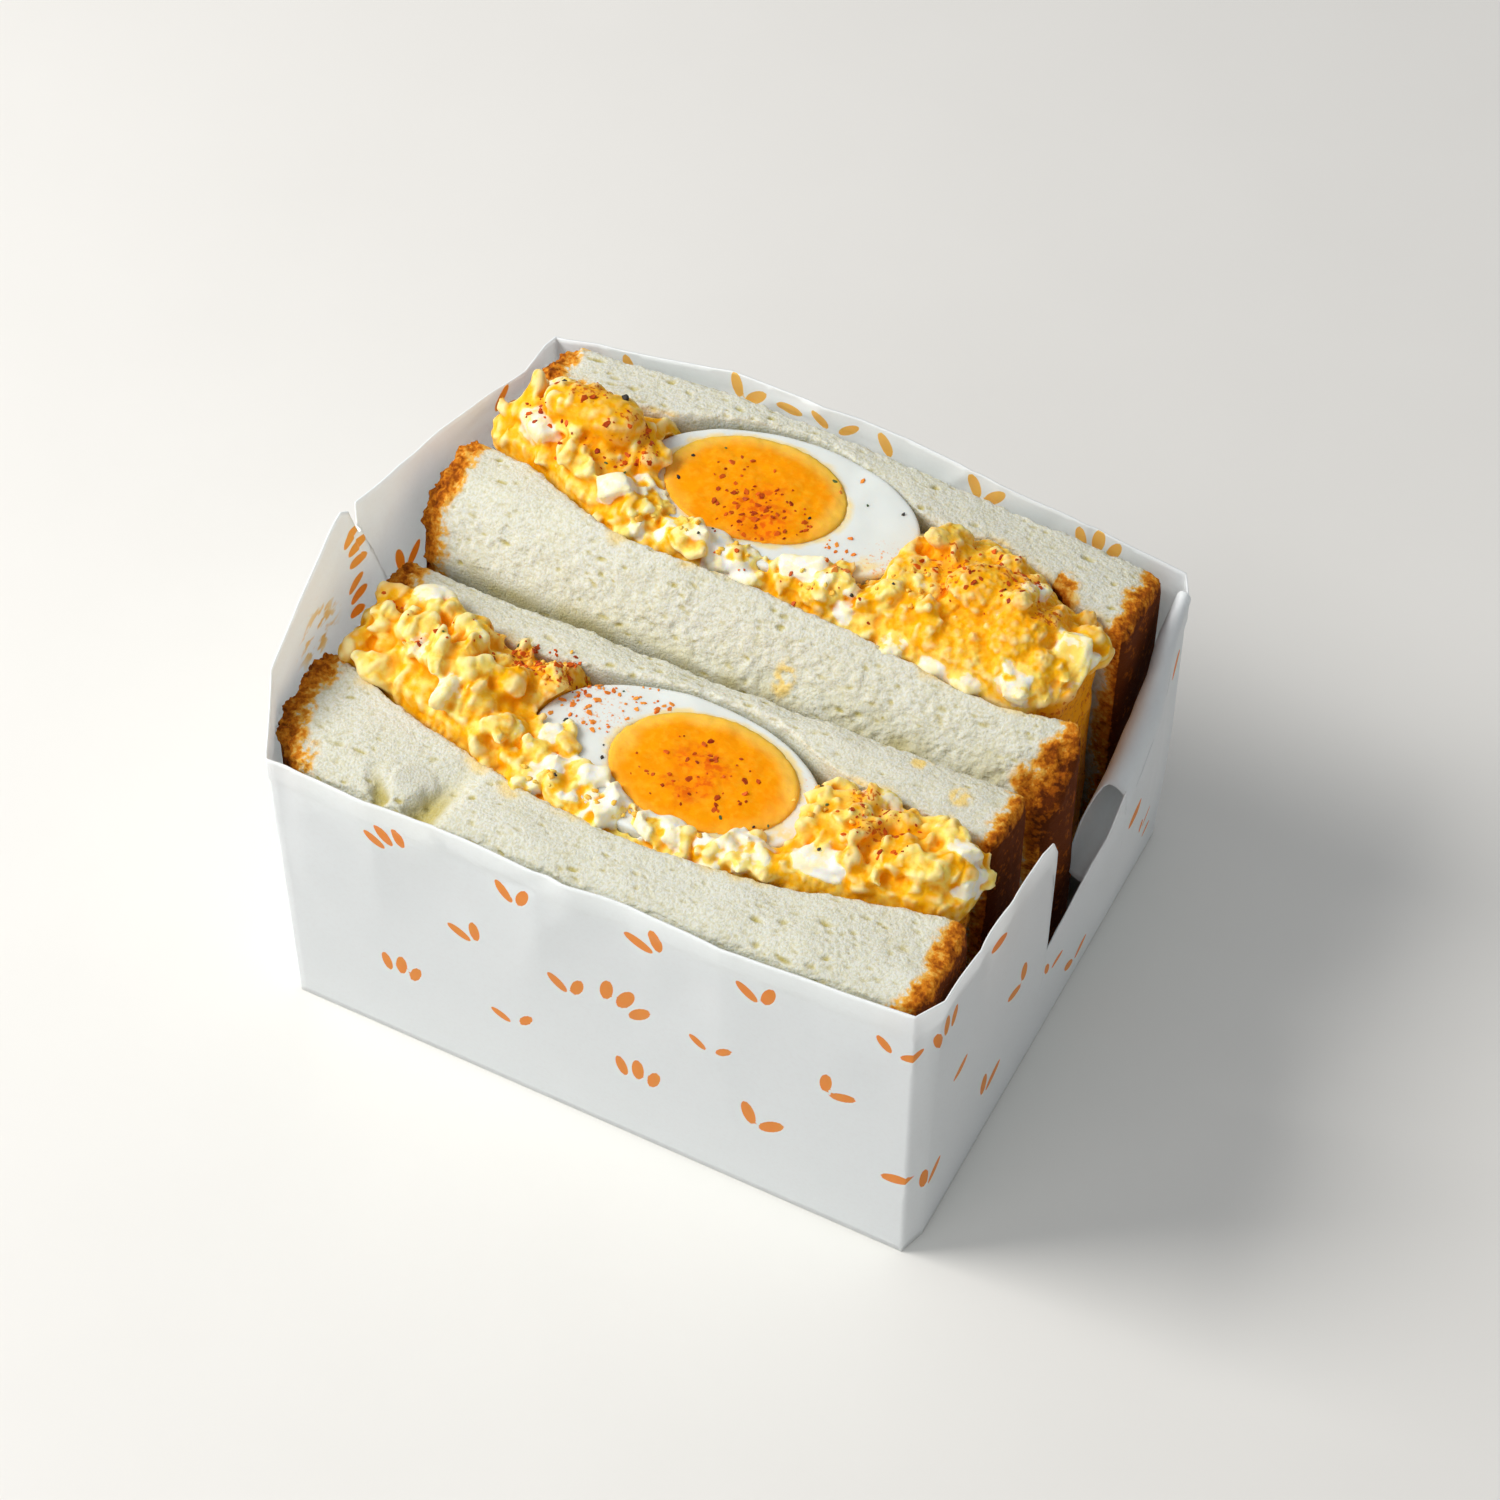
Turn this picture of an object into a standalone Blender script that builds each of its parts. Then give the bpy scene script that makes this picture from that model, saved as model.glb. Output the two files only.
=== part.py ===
"""Egg salad sandwich in its paper wrapper.

One filled sandwich was cut across its middle. Both halves stand side by side with the cut faces
up, inside one folded sheet of white paper. Every length below is in millimetres and becomes
metres when a mesh is made. +X runs along the cut faces, +Y from the front half to the back half,
+Z up. The origin is under the middle of the wrapper.
"""
import bisect
import math
import random

import bmesh
import bpy
import numpy as np
from mathutils import Euler, Matrix, Vector, noise
from mathutils.bvhtree import BVHTree

METRES = 0.001

# Driving dimensions.
BREAD_LENGTH = 124.0
HALF_THICKNESS = 51.0
SLICE_THICKNESS = 18.0
FRONT_HEIGHT = 65.0
BACK_HEIGHT = 73.0
EGG_LENGTH = 53.0
EGG_WIDTH = 31.5
EGG_DEPTH = 20.0
YOLK_LENGTH = 34.0
YOLK_WIDTH = 25.0
YOLK_DEPTH = 14.5
PAPER_THICKNESS = 0.5
CLEARANCE = 0.35
BREAD_GAP = 0.3
TOPPING_ROOM = 1.6
FLOOR = PAPER_THICKNESS + CLEARANCE
GROOVE_GAP = 1.2

# The front half reaches from FRONT_FACE to the groove, the back half from the groove to BACK_FACE.
GROOVE = 0.4
FRONT_FACE = GROOVE - HALF_THICKNESS
BACK_FACE = GROOVE + GROOVE_GAP + HALF_THICKNESS + 1.5
LEFT_END = -BREAD_LENGTH / 2 - 2.5
RIGHT_END = BREAD_LENGTH / 2 - 2.5

WRAPPER_LEFT = LEFT_END - 2.6
WRAPPER_RIGHT = RIGHT_END + 2.8
WRAPPER_FRONT = FRONT_FACE - 1.3
WRAPPER_BACK = BACK_FACE + 1.3


def clear_scene():
    for item in list(bpy.data.objects):
        bpy.data.objects.remove(item, do_unlink=True)


def mix(start, end, amount):
    return start + (end - start) * amount


def smoothstep(amount):
    amount = min(max(amount, 0.0), 1.0)
    return amount * amount * (3.0 - 2.0 * amount)


def smooth_line(*points):
    """A function that runs smoothly through a few points, each (position, value)."""
    places = [point[0] for point in points]
    values = [point[1] for point in points]
    slopes = np.gradient(values, places)

    def value_at(place):
        place = min(max(place, places[0]), places[-1])
        index = min(bisect.bisect_right(places, place), len(places) - 1) - 1
        width = places[index + 1] - places[index]
        t = (place - places[index]) / width
        ease = smoothstep(t)
        bend = t * (1 - t) * width * ((1 - t) * slopes[index] - t * slopes[index + 1])
        return mix(values[index], values[index + 1], ease) + bend

    return value_at


def straight_line(*points):
    """A function with straight runs between a few points, each (position, value)."""
    places = [point[0] for point in points]
    values = [point[1] for point in points]
    return lambda place: float(np.interp(place, places, values))


# Where bread meets filling on the cut faces, as y along x. The egg pushes the slices apart.
FRONT_OUTER_LINE = smooth_line((-66, -23.5), (-45, -30.5), (-18, -36.6), (20, -37.4), (40, -33), (60, -29))
FRONT_INNER_LINE = smooth_line((-66, -12), (-53, -6.5), (-38, -10.5), (-18, -7.5), (0, -4.6), (14, -6),
                               (27, -11), (44, -12.5), (60, -15))
BACK_INNER_LINE = smooth_line((-64, 24), (-50, 22), (-36, 15.5), (0, 14.5), (28, 13.5), (45, 12.5), (60, 16))
BACK_OUTER_LINE = smooth_line((-64, 32), (-52, 42), (-38, 42), (-22, 48), (-9, 50.6), (5, 47.5), (18, 42.5),
                              (32, 45), (45, 39), (60, 34))

# Height of the cut faces along x.
FRONT_RIDGE = smooth_line((-66, FRONT_HEIGHT - 1), (0, FRONT_HEIGHT), (60, FRONT_HEIGHT + 2))
BACK_RIDGE = smooth_line((-66, BACK_HEIGHT), (-25, BACK_HEIGHT + 2.5), (20, BACK_HEIGHT - 0.5),
                         (60, BACK_HEIGHT - 3))

# A torn hollow in the front slice.
TEAR_CENTRE = (-31.5, -44.0)
TEAR_SIZE = (5.0, 5.0)
TEAR_DEPTH = 2.5

# The back slice bends down towards the groove: how far from the groove it starts, and how deep it ends.
BEND_START = 14.0
BEND_DEPTH = 12.5
# The back half's cut face drops a little towards the back paper.
BACK_DROP_START = 43.0
BACK_DROP = 1.2


def ripple(x, y, z, scale, height):
    """Gentle unevenness of bread and paper, the same on every run."""
    return height * noise.noise(Vector((x, y, z)) / scale)


def front_cut_height(x, y):
    tear_x = (x - TEAR_CENTRE[0]) / TEAR_SIZE[0]
    tear_y = (y - TEAR_CENTRE[1]) / TEAR_SIZE[1]
    tear = TEAR_DEPTH * math.exp(-tear_x ** 2 - tear_y ** 2)
    edge = 1.2 * smoothstep((FRONT_FACE + 5 - y) / 5) + 1.4 * smoothstep((y - GROOVE + 5) / 5)
    return FRONT_RIDGE(x) - tear - edge + ripple(x, y, 0, 7, 0.7)


def back_cut_height(x, y):
    bend = BEND_DEPTH * max(0.0, (BEND_START - y) / BEND_DEPTH) ** 1.7
    back_edge = BACK_DROP * max(0.0, (y - BACK_DROP_START) / (BACK_FACE - BACK_DROP_START)) ** 1.5
    return BACK_RIDGE(x) - bend - back_edge + ripple(x, y, 40, 7, 0.7)


def squeeze(z):
    """How far the slices follow the cut face's lines: fully at the cut, less below the egg."""
    return 0.3 + 0.7 * smoothstep((z - 18.0) / 38.0)


def front_filling(x, z):
    """The filling's two faces in the front half, as (front y, back y)."""
    amount = squeeze(z)
    front = mix(FRONT_FACE + SLICE_THICKNESS, FRONT_OUTER_LINE(x), amount)
    back = mix(GROOVE - SLICE_THICKNESS, FRONT_INNER_LINE(x), amount)
    return front, back


def back_filling(x, z):
    """The filling's two faces in the back half, as (front y, back y)."""
    amount = squeeze(z)
    front = mix(GROOVE + GROOVE_GAP + SLICE_THICKNESS, BACK_INNER_LINE(x), amount)
    back = mix(BACK_FACE - SLICE_THICKNESS, BACK_OUTER_LINE(x), amount)
    return front, back


def principled(name, color, roughness):
    material = bpy.data.materials.new(name)
    material.use_nodes = True
    shader = material.node_tree.nodes["Principled BSDF"]
    shader.inputs["Base Color"].default_value = (*color, 1.0)
    shader.inputs["Roughness"].default_value = roughness
    shader.inputs["Metallic"].default_value = 0.0
    material.diffuse_color = (*color, 1.0)
    return material


def make_materials():
    return {
        "bread": principled("bread", (0.78, 0.70, 0.52), 0.9),
        "salad": principled("egg_salad", (0.90, 0.62, 0.16), 0.55),
        "white": principled("egg_white", (0.88, 0.89, 0.85), 0.35),
        "yolk": principled("egg_yolk", (0.95, 0.42, 0.02), 0.5),
        "paper": principled("wrapper_paper", (0.86, 0.87, 0.88), 0.6),
    }


def add_object(name, vertices, faces, material=None):
    """A mesh object from points in millimetres, with its faces turned outward."""
    mesh = bpy.data.meshes.new(name)
    mesh.from_pydata([[value * METRES for value in vertex] for vertex in vertices], [], faces)
    body = bmesh.new()
    body.from_mesh(mesh)
    bmesh.ops.recalc_face_normals(body, faces=body.faces)
    bmesh.ops.triangulate(body, faces=body.faces)
    body.to_mesh(mesh)
    body.free()
    item = bpy.data.objects.new(name, mesh)
    bpy.context.scene.collection.objects.link(item)
    if material:
        mesh.materials.append(material)
    mesh.shade_smooth()
    mesh.set_sharp_from_angle(angle=math.radians(50))
    return item


def loft(name, rings, material):
    """Skin over closed rings with the same number of points, and a rounded end over the first and last."""
    first, last = rings[0], rings[-1]
    rings = [shrunk(first, 0.55)] + list(rings) + [shrunk(last, 0.55)]
    count = len(first)
    vertices = [point for ring in rings for point in ring]
    faces = []
    for row in range(len(rings) - 1):
        for column in range(count):
            following = (column + 1) % count
            corners = (column, following, count + following, count + column)
            faces.append([row * count + corner for corner in corners])
    faces += end_fan(vertices, rings[0], 0)
    faces += end_fan(vertices, rings[-1], (len(rings) - 1) * count)
    return add_object(name, vertices, faces, material)


def ring_centre(ring):
    return tuple(sum(point[axis] for point in ring) / len(ring) for axis in range(3))


def shrunk(ring, amount):
    """A smaller copy of an end ring, pushed out a little so that the end is softly rounded."""
    centre = ring_centre(ring)
    outward = 0.5 * math.copysign(1.0, centre[0])
    return [(point[0] + outward, mix(centre[1], point[1], amount), mix(centre[2], point[2], amount))
            for point in ring]


def end_fan(vertices, ring, start):
    """Triangles from a ring to its middle point."""
    count = len(ring)
    centre = ring_centre(ring)
    vertices.append((centre[0] + 0.2 * math.copysign(1.0, centre[0]), centre[1], centre[2]))
    return [[start + column, start + (column + 1) % count, len(vertices) - 1] for column in range(count)]


def corner_inset(distance, radius):
    """How far a rounded corner has cut in, at a distance from the end."""
    reach = radius - min(distance, radius)
    return radius - math.sqrt(radius * radius - reach * reach)


# Stations along bread and filling: close together at the rounded ends, shared between them.
END_STEPS = (0.0, 0.9, 2.6, 5.2, 8.6)
MIDDLE_STATIONS = tuple(np.linspace(LEFT_END + 15.0, RIGHT_END - 14.0, 13))
SIDE_HEIGHTS = (7.0, 21.0, 34.0, 47.0)
TOP_STEPS = (0.035, 0.3, 0.55, 0.8, 0.965)
BOTTOM_RADIUS = 5.0
TOP_RADIUS = 1.6
CUT_ROUNDING = 1.6


def stations(left, right):
    ends = [left + step for step in END_STEPS], [right - step for step in reversed(END_STEPS)]
    return [*ends[0], *MIDDLE_STATIONS, *ends[1]]


def bread_slice(name, left, right, faces_at, height_at, radii, crust_roughness, material):
    """One slice of bread. faces_at gives its front and back y at (x, z); radii round the four ends."""
    rings = []
    for x in stations(left, right):
        from_end = min(x - left, right - x)
        front_radius, back_radius = radii[:2] if x < 0 else radii[2:]
        front_inset = corner_inset(from_end, front_radius)
        back_inset = corner_inset(from_end, back_radius)
        top_inset = corner_inset(from_end, TOP_RADIUS)
        near_end = 1.0 - smoothstep(from_end / 7.0)
        roughness = crust_roughness[0 if x < 0 else 1] * near_end

        def face(side, z):
            y = faces_at(x, z)[side]
            inset = front_inset if side == 0 else -back_inset
            lift = max(0.0, 1.0 - (z - FLOOR) / BOTTOM_RADIUS)
            bottom_round = BOTTOM_RADIUS * (1.0 - math.sqrt(1.0 - lift * lift)) * 0.6
            swell = ripple(x, z, side * 30, 14, 0.5)
            return y + inset + (bottom_round if side == 0 else -bottom_round) + swell * (1 - near_end)

        top_front = face(0, FRONT_HEIGHT)
        top_back = face(1, FRONT_HEIGHT)
        ring = [(x, mix(face(0, FLOOR), face(1, FLOOR), 0.75), FLOOR)]
        ring.append((x, mix(face(0, FLOOR), face(1, FLOOR), 0.25), FLOOR))
        for z in (*SIDE_HEIGHTS, height_at(x, top_front) - top_inset - CUT_ROUNDING):
            ring.append((x, face(0, z), z))
        for step in TOP_STEPS:
            y = mix(top_front, top_back, step)
            ring.append((x, y, height_at(x, y) - top_inset))
        for z in (height_at(x, top_back) - top_inset - CUT_ROUNDING, *reversed(SIDE_HEIGHTS)):
            ring.append((x, face(1, z), z))
        outward = math.copysign(1.0, x)
        rings.append([(point[0] - outward * roughness * abs(noise.noise(Vector(point) / 3.1)),
                       point[1], point[2]) for point in ring])
    return loft(name, rings, material)


def add_bread(materials):
    """The four slices, from the front of the wrapper to the back."""
    outer_line = smooth_line((-66, FRONT_FACE + 0.6), (0, FRONT_FACE), (60, FRONT_FACE + 0.5))
    groove_line = smooth_line((-66, GROOVE), (0, GROOVE - 0.6), (60, GROOVE))
    back_groove_line = smooth_line((-66, GROOVE + 2.6), (0, GROOVE + GROOVE_GAP), (60, GROOVE + 2.0))
    back_line = smooth_line((-66, BACK_FACE - 0.9), (0, BACK_FACE), (60, BACK_FACE - 0.4))
    bread = materials["bread"]
    bread_slice("bread_front_outer", LEFT_END - 1.5, RIGHT_END + 1.5,
                lambda x, z: (outer_line(x), front_filling(x, z)[0] - BREAD_GAP),
                front_cut_height, (13.0, 4.5, 4.0, 3.0), (1.6, 0.9), bread)
    bread_slice("bread_front_inner", LEFT_END + 1.2, RIGHT_END - 2.0,
                lambda x, z: (front_filling(x, z)[1] + BREAD_GAP, groove_line(x)),
                front_cut_height, (2.0, 2.2, 2.0, 2.2), (1.8, 0.8), bread)
    bread_slice("bread_back_inner", LEFT_END + 0.8, RIGHT_END + 1.4,
                lambda x, z: (back_groove_line(x), back_filling(x, z)[0] - BREAD_GAP),
                back_cut_height, (4.0, 3.0, 3.5, 3.5), (1.8, 0.8), bread)
    bread_slice("bread_back_outer", LEFT_END + 2.8, RIGHT_END - 0.8,
                lambda x, z: (back_filling(x, z)[1] + BREAD_GAP, back_line(x)),
                back_cut_height, (2.2, 1.8, 2.2, 1.8), (1.6, 0.8), bread)


class Egg:
    """A boiled egg cut along its length: the yolk sits off the middle of the white."""

    def __init__(self, side, centre, yolk_shift, ridge, tilt):
        self.side = side
        self.centre = centre
        self.yolk_centre = (centre[0] + yolk_shift[0], centre[1] + yolk_shift[1])
        self.ridge = ridge
        self.tilt = tilt

    def cut_height(self, x, y):
        """The egg's flat cut face, level with the bread and leaning a little."""
        return self.ridge(self.centre[0]) - 0.6 + self.tilt * (y - self.centre[1])

    def ring(self, centre, length, width, depth, level, segments, growth=0.0):
        """A ring round a half egg: level 0 is the rim on the cut face and 1 the lowest point."""
        angle = level * math.pi / 2
        reach = math.cos(angle)
        drop = (depth + growth) * math.sin(angle)
        points = []
        for index in range(segments):
            turn = 2 * math.pi * index / segments
            x = centre[0] + (length / 2 + growth) * reach * math.cos(turn)
            y = centre[1] + (width / 2 + growth) * reach * math.sin(turn)
            points.append((x, y, self.cut_height(x, y) - drop))
        return points


SEGMENTS = 26
LEVELS = (0.0, 0.2, 0.45, 0.74)
HOLLOW_LEVELS = (0.0, 0.25, 0.6)


def closed_rings(rings, bottom, top):
    """Vertices and faces of a body of stacked rings, closed by a point at each end."""
    count = len(rings[0])
    vertices = [point for ring in rings for point in ring] + [bottom, top]
    faces = []
    for row in range(len(rings) - 1):
        for column in range(count):
            following = (column + 1) % count
            corners = (column, following, count + following, count + column)
            faces.append([row * count + corner for corner in corners])
    last = (len(rings) - 1) * count
    for column in range(count):
        following = (column + 1) % count
        faces.append([column, following, len(vertices) - 2])
        faces.append([last + column, last + following, len(vertices) - 1])
    return vertices, faces


def egg_white(egg, material):
    """The cut white: a bowl whose hollow holds the yolk."""
    outer = [egg.ring(egg.centre, EGG_LENGTH, EGG_WIDTH, EGG_DEPTH, level, SEGMENTS)
             for level in reversed(LEVELS)]
    inner = [egg.ring(egg.yolk_centre, YOLK_LENGTH, YOLK_WIDTH, YOLK_DEPTH, level, SEGMENTS, CLEARANCE)
             for level in HOLLOW_LEVELS]
    bottom = (*egg.centre, egg.cut_height(*egg.centre) - EGG_DEPTH)
    hollow = (*egg.yolk_centre, egg.cut_height(*egg.yolk_centre) - YOLK_DEPTH - CLEARANCE)
    vertices, faces = closed_rings(outer + inner, bottom, hollow)
    return add_object("egg_white_" + egg.side, vertices, faces, material)


def egg_yolk(egg, material):
    """The half ball of yolk, its cut face a touch higher in the middle."""
    rings = [egg.ring(egg.yolk_centre, YOLK_LENGTH, YOLK_WIDTH, YOLK_DEPTH, level, SEGMENTS)
             for level in reversed(HOLLOW_LEVELS)]
    middle = [(mix(egg.yolk_centre[0], x, 0.6), mix(egg.yolk_centre[1], y, 0.6), z + 0.7)
              for x, y, z in rings[-1]]
    height = egg.cut_height(*egg.yolk_centre)
    vertices, faces = closed_rings(rings + [middle], (*egg.yolk_centre, height - YOLK_DEPTH),
                                   (*egg.yolk_centre, height + 0.9))
    return add_object("egg_yolk_" + egg.side, vertices, faces, material)


def egg_hollow(egg):
    """The space that the half egg needs in the salad, a little larger than the egg."""
    rings = [egg.ring(egg.centre, EGG_LENGTH, EGG_WIDTH, EGG_DEPTH, level, SEGMENTS, CLEARANCE)
             for level in reversed(LEVELS)]
    rim = [(x, y, z + CLEARANCE) for x, y, z in rings[-1]]
    lid = [(mix(egg.centre[0], x, 0.9), mix(egg.centre[1], y, 0.9), z + TOPPING_ROOM) for x, y, z in rim]
    height = egg.cut_height(*egg.centre)
    vertices, faces = closed_rings(rings + [rim, lid], (*egg.centre, height - EGG_DEPTH - CLEARANCE),
                                   (*egg.centre, height + CLEARANCE + TOPPING_ROOM))
    return add_object("hollow_" + egg.side, vertices, faces)


# How far the salad rises above the cut face along x: high beside the egg, low in front of it.
FRONT_RISE = smooth_line((-66, 1.0), (-50, 4.5), (-34, 4.5), (-22, 0.5), (0, -0.5), (24, 0.0), (36, 3.6),
                         (50, 3.0), (60, 0.5))
BACK_RISE = smooth_line((-66, 1.5), (-52, 5.0), (-40, 4.5), (-30, 0.5), (-6, -0.5), (14, 1.0), (26, 5.5),
                        (44, 5.0), (60, 1.0))


class Heap:
    """A stretch of lumps and dice: from left to right, and from front to back as shares of the filling."""

    def __init__(self, left, right, front, back, lumps, dice):
        self.left = left
        self.right = right
        self.front = front
        self.back = back
        self.lumps = lumps
        self.dice = dice


FILLING_END_GAP = 1.5
SHOULDER = 3.0
LUMP_SIZE = (2.8, 6.4)
DIE_SIZE = (3.4, 6.4)
FLAKE_SIZE = 1.1
SALAD_FLAKES = 4


def dome(share):
    """The heap's rounded section, from 0 at one slice over 1 in the middle to 0 at the other slice."""
    return math.sqrt(max(0.0, math.sin(math.pi * min(max(share, 0.0), 1.0))))


def salad_core(side, filling_at, height_at, rise_at, material):
    """The salad between the slices, heaped above the cut face, with soft ends."""
    left, right = LEFT_END + FILLING_END_GAP, RIGHT_END - FILLING_END_GAP
    rings = []
    for x in stations(left, right):
        end_inset = corner_inset(min(x - left, right - x), 3.5)
        middle = sum(filling_at(x, FRONT_HEIGHT)) / 2
        levels = [FLOOR + 2, *SIDE_HEIGHTS[1:], height_at(x, middle) - SHOULDER]
        ring = []
        for z in levels:
            front, back = filling_at(x, z)
            ring.append((x, front + CLEARANCE + end_inset, z))
        front, back = filling_at(x, FRONT_HEIGHT)
        for step in (0.05, 0.28, 0.5, 0.72, 0.95):
            y = mix(front + CLEARANCE + end_inset, back - CLEARANCE - end_inset, step)
            lift = rise_at(x) * dome(step) - 0.8 + ripple(x, y, 9, 5, 2.0)
            ring.append((x, y, height_at(x, y) + lift))
        for z in reversed(levels):
            front, back = filling_at(x, z)
            ring.append((x, back - CLEARANCE - end_inset, z))
        rings.append(ring)
    return loft("egg_salad_" + side, rings, material)


def room_at(x, y, filling_at):
    """How far a point on the cut face is from the bread in front of it and behind it."""
    reach = 4.0
    room = min(x - LEFT_END - FILLING_END_GAP, RIGHT_END - FILLING_END_GAP - x) + 1.0
    for near_x in (x - reach, x, x + reach):
        front, back = filling_at(near_x, FRONT_HEIGHT)
        room = min(room, y - front, back - y)
    return room - CLEARANCE


def add_lump(size, centre, draw):
    """A soft uneven lump of salad."""
    body = bmesh.new()
    bmesh.ops.create_icosphere(body, subdivisions=2, radius=1.0)
    stretch = Vector((draw.uniform(0.85, 1.0), draw.uniform(0.7, 1.0), draw.uniform(0.6, 0.85)))
    turn = Euler((draw.uniform(-0.4, 0.4), draw.uniform(-0.4, 0.4), draw.uniform(0, math.pi))).to_matrix()
    shift = Vector((draw.random(), draw.random(), draw.random())) * 50
    for vertex in body.verts:
        bump = 0.84 + 0.16 * noise.noise(vertex.co * 1.7 + shift)
        local = Vector((vertex.co[axis] * stretch[axis] for axis in range(3))) * bump * size
        vertex.co = turn @ local + Vector(centre)
    return finish_piece(body, "lump")


def add_die(size, centre, draw):
    """A cut cube of egg white."""
    body = bmesh.new()
    bmesh.ops.create_cube(body, size=1.0)
    stretch = Vector((size, size * draw.uniform(0.6, 1.0), size * draw.uniform(0.5, 0.8)))
    turn = Euler([draw.uniform(-0.7, 0.7), draw.uniform(-0.7, 0.7), draw.uniform(0, math.pi)]).to_matrix()
    for vertex in body.verts:
        vertex.co = turn @ Vector([vertex.co[axis] * stretch[axis] for axis in range(3)]) + Vector(centre)
    return finish_piece(body, "die")


def add_flake(centre, draw):
    """A flat chip of crushed chilli."""
    body = bmesh.new()
    bmesh.ops.create_cone(body, cap_ends=True, segments=5, radius1=FLAKE_SIZE, radius2=FLAKE_SIZE * 0.6,
                          depth=0.9)
    turn = Euler((draw.uniform(-0.4, 0.4), draw.uniform(-0.4, 0.4), draw.uniform(0, 2 * math.pi)))
    stretch = Matrix.Diagonal((draw.uniform(0.7, 1.2), draw.uniform(0.5, 0.9), 1.0))
    for vertex in body.verts:
        vertex.co = turn.to_matrix() @ (stretch @ vertex.co) + Vector(centre)
    return finish_piece(body, "flake")


def finish_piece(body, name):
    """Turns a scratch shape in millimetres into an object and gives it back."""
    body.verts.index_update()
    vertices = [tuple(vertex.co) for vertex in body.verts]
    faces = [[vertex.index for vertex in face.verts] for face in body.faces]
    body.free()
    return add_object(name, vertices, faces)


def combine(target, pieces, operation, solver="EXACT"):
    """Joins pieces to a solid, or cuts them from it, with one Boolean, and removes them."""
    group = bpy.data.collections.new("pieces")
    for piece in pieces:
        bpy.context.scene.collection.objects.unlink(piece)
        group.objects.link(piece)
    bpy.context.scene.collection.children.link(group)
    modifier = target.modifiers.new("pieces", "BOOLEAN")
    modifier.operation = operation
    modifier.operand_type = "COLLECTION"
    modifier.collection = group
    modifier.solver = solver
    bpy.context.view_layer.update()
    evaluated = target.evaluated_get(bpy.context.evaluated_depsgraph_get())
    mesh = bpy.data.meshes.new_from_object(evaluated)
    target.modifiers.clear()
    target.data = mesh
    for piece in pieces:
        bpy.data.objects.remove(piece, do_unlink=True)
    bpy.data.collections.remove(group)
    tidy_mesh(mesh)


def tidy_mesh(mesh):
    """Keeps the largest body and splits its faces into triangles."""
    body = bmesh.new()
    body.from_mesh(mesh)
    islands = loose_parts(body)
    largest = max(islands, key=len)
    scraps = [vertex for island in islands if island is not largest for vertex in island]
    bmesh.ops.delete(body, geom=scraps, context="VERTS")
    bmesh.ops.triangulate(body, faces=body.faces)
    body.to_mesh(mesh)
    body.free()
    mesh.shade_smooth()
    mesh.set_sharp_from_angle(angle=math.radians(50))


def loose_parts(body):
    """The groups of joined vertices in a mesh."""
    remaining = set(body.verts)
    islands = []
    while remaining:
        queue = [remaining.pop()]
        island = []
        while queue:
            vertex = queue.pop()
            island.append(vertex)
            for edge in vertex.link_edges:
                other = edge.other_vert(vertex)
                if other in remaining:
                    remaining.remove(other)
                    queue.append(other)
        islands.append(island)
    return islands


def salad_pieces(heaps, filling_at, height_at, rise_at, seed):
    """Lumps and dice of every heap, kept clear of the bread."""
    draw = random.Random(seed)
    pieces = []
    for heap in heaps:
        for kind, count in (("lump", heap.lumps), ("die", heap.dice)):
            smallest, largest = LUMP_SIZE if kind == "lump" else DIE_SIZE
            for index in range(count):
                x = mix(heap.left, heap.right, (index + draw.uniform(0.1, 0.9)) / count)
                front, back = filling_at(x, FRONT_HEIGHT)
                y = mix(front, back, draw.uniform(heap.front, heap.back))
                room = room_at(x, y, filling_at)
                size = min(draw.uniform(smallest, largest), room / (1.0 if kind == "lump" else 0.85))
                if size < smallest * 0.7:
                    continue
                rise = rise_at(x) * dome((y - front) / (back - front)) - size * draw.uniform(0.15, 0.45)
                centre = (x, y, height_at(x, y) + rise)
                pieces.append(add_lump(size, centre, draw) if kind == "lump" else add_die(size, centre, draw))
    return pieces


def salad_flakes(core, heaps, filling_at, seed):
    """Chilli chips lying on the heaps beside the egg, each set down on the surface below it."""
    surface = BVHTree.FromObject(core, bpy.context.evaluated_depsgraph_get())
    draw = random.Random(seed + 2)
    flakes = []
    for heap in (heaps[0], heaps[-1]):
        for index in range(SALAD_FLAKES):
            x = mix(heap.left, heap.right, (index + draw.uniform(0.3, 0.7)) / SALAD_FLAKES)
            front, back = filling_at(x, FRONT_HEIGHT)
            y = mix(front, back, draw.uniform(0.35, 0.65))
            above = Vector((x, y, 2 * BACK_HEIGHT)) * METRES
            hit = surface.ray_cast(above, Vector((0, 0, -1)))[0]
            if hit and hit.z > (FRONT_HEIGHT - 3) * METRES:
                flakes.append(add_flake((x, y, hit.z / METRES + 0.1), draw))
    return flakes


def add_filling(side, egg, heaps, filling_at, height_at, rise_at, seed, materials):
    """Salad, white and yolk of one half."""
    core = salad_core(side, filling_at, height_at, rise_at, materials["salad"])
    combine(core, salad_pieces(heaps, filling_at, height_at, rise_at, seed), "UNION")
    combine(core, [egg_hollow(egg)], "DIFFERENCE")
    combine(core, salad_flakes(core, heaps, filling_at, seed), "UNION")
    white = egg_white(egg, materials["white"])
    yolk = egg_yolk(egg, materials["yolk"])
    draw = random.Random(seed + 1)
    combine(white, scattered_flakes(egg, draw, 5, 0.86), "UNION")
    combine(yolk, scattered_flakes(egg, draw, 7, 0.0), "UNION")
    for item, material in ((core, "salad"), (white, "white"), (yolk, "yolk")):
        item.data.materials.clear()
        item.data.materials.append(materials[material])


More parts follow.
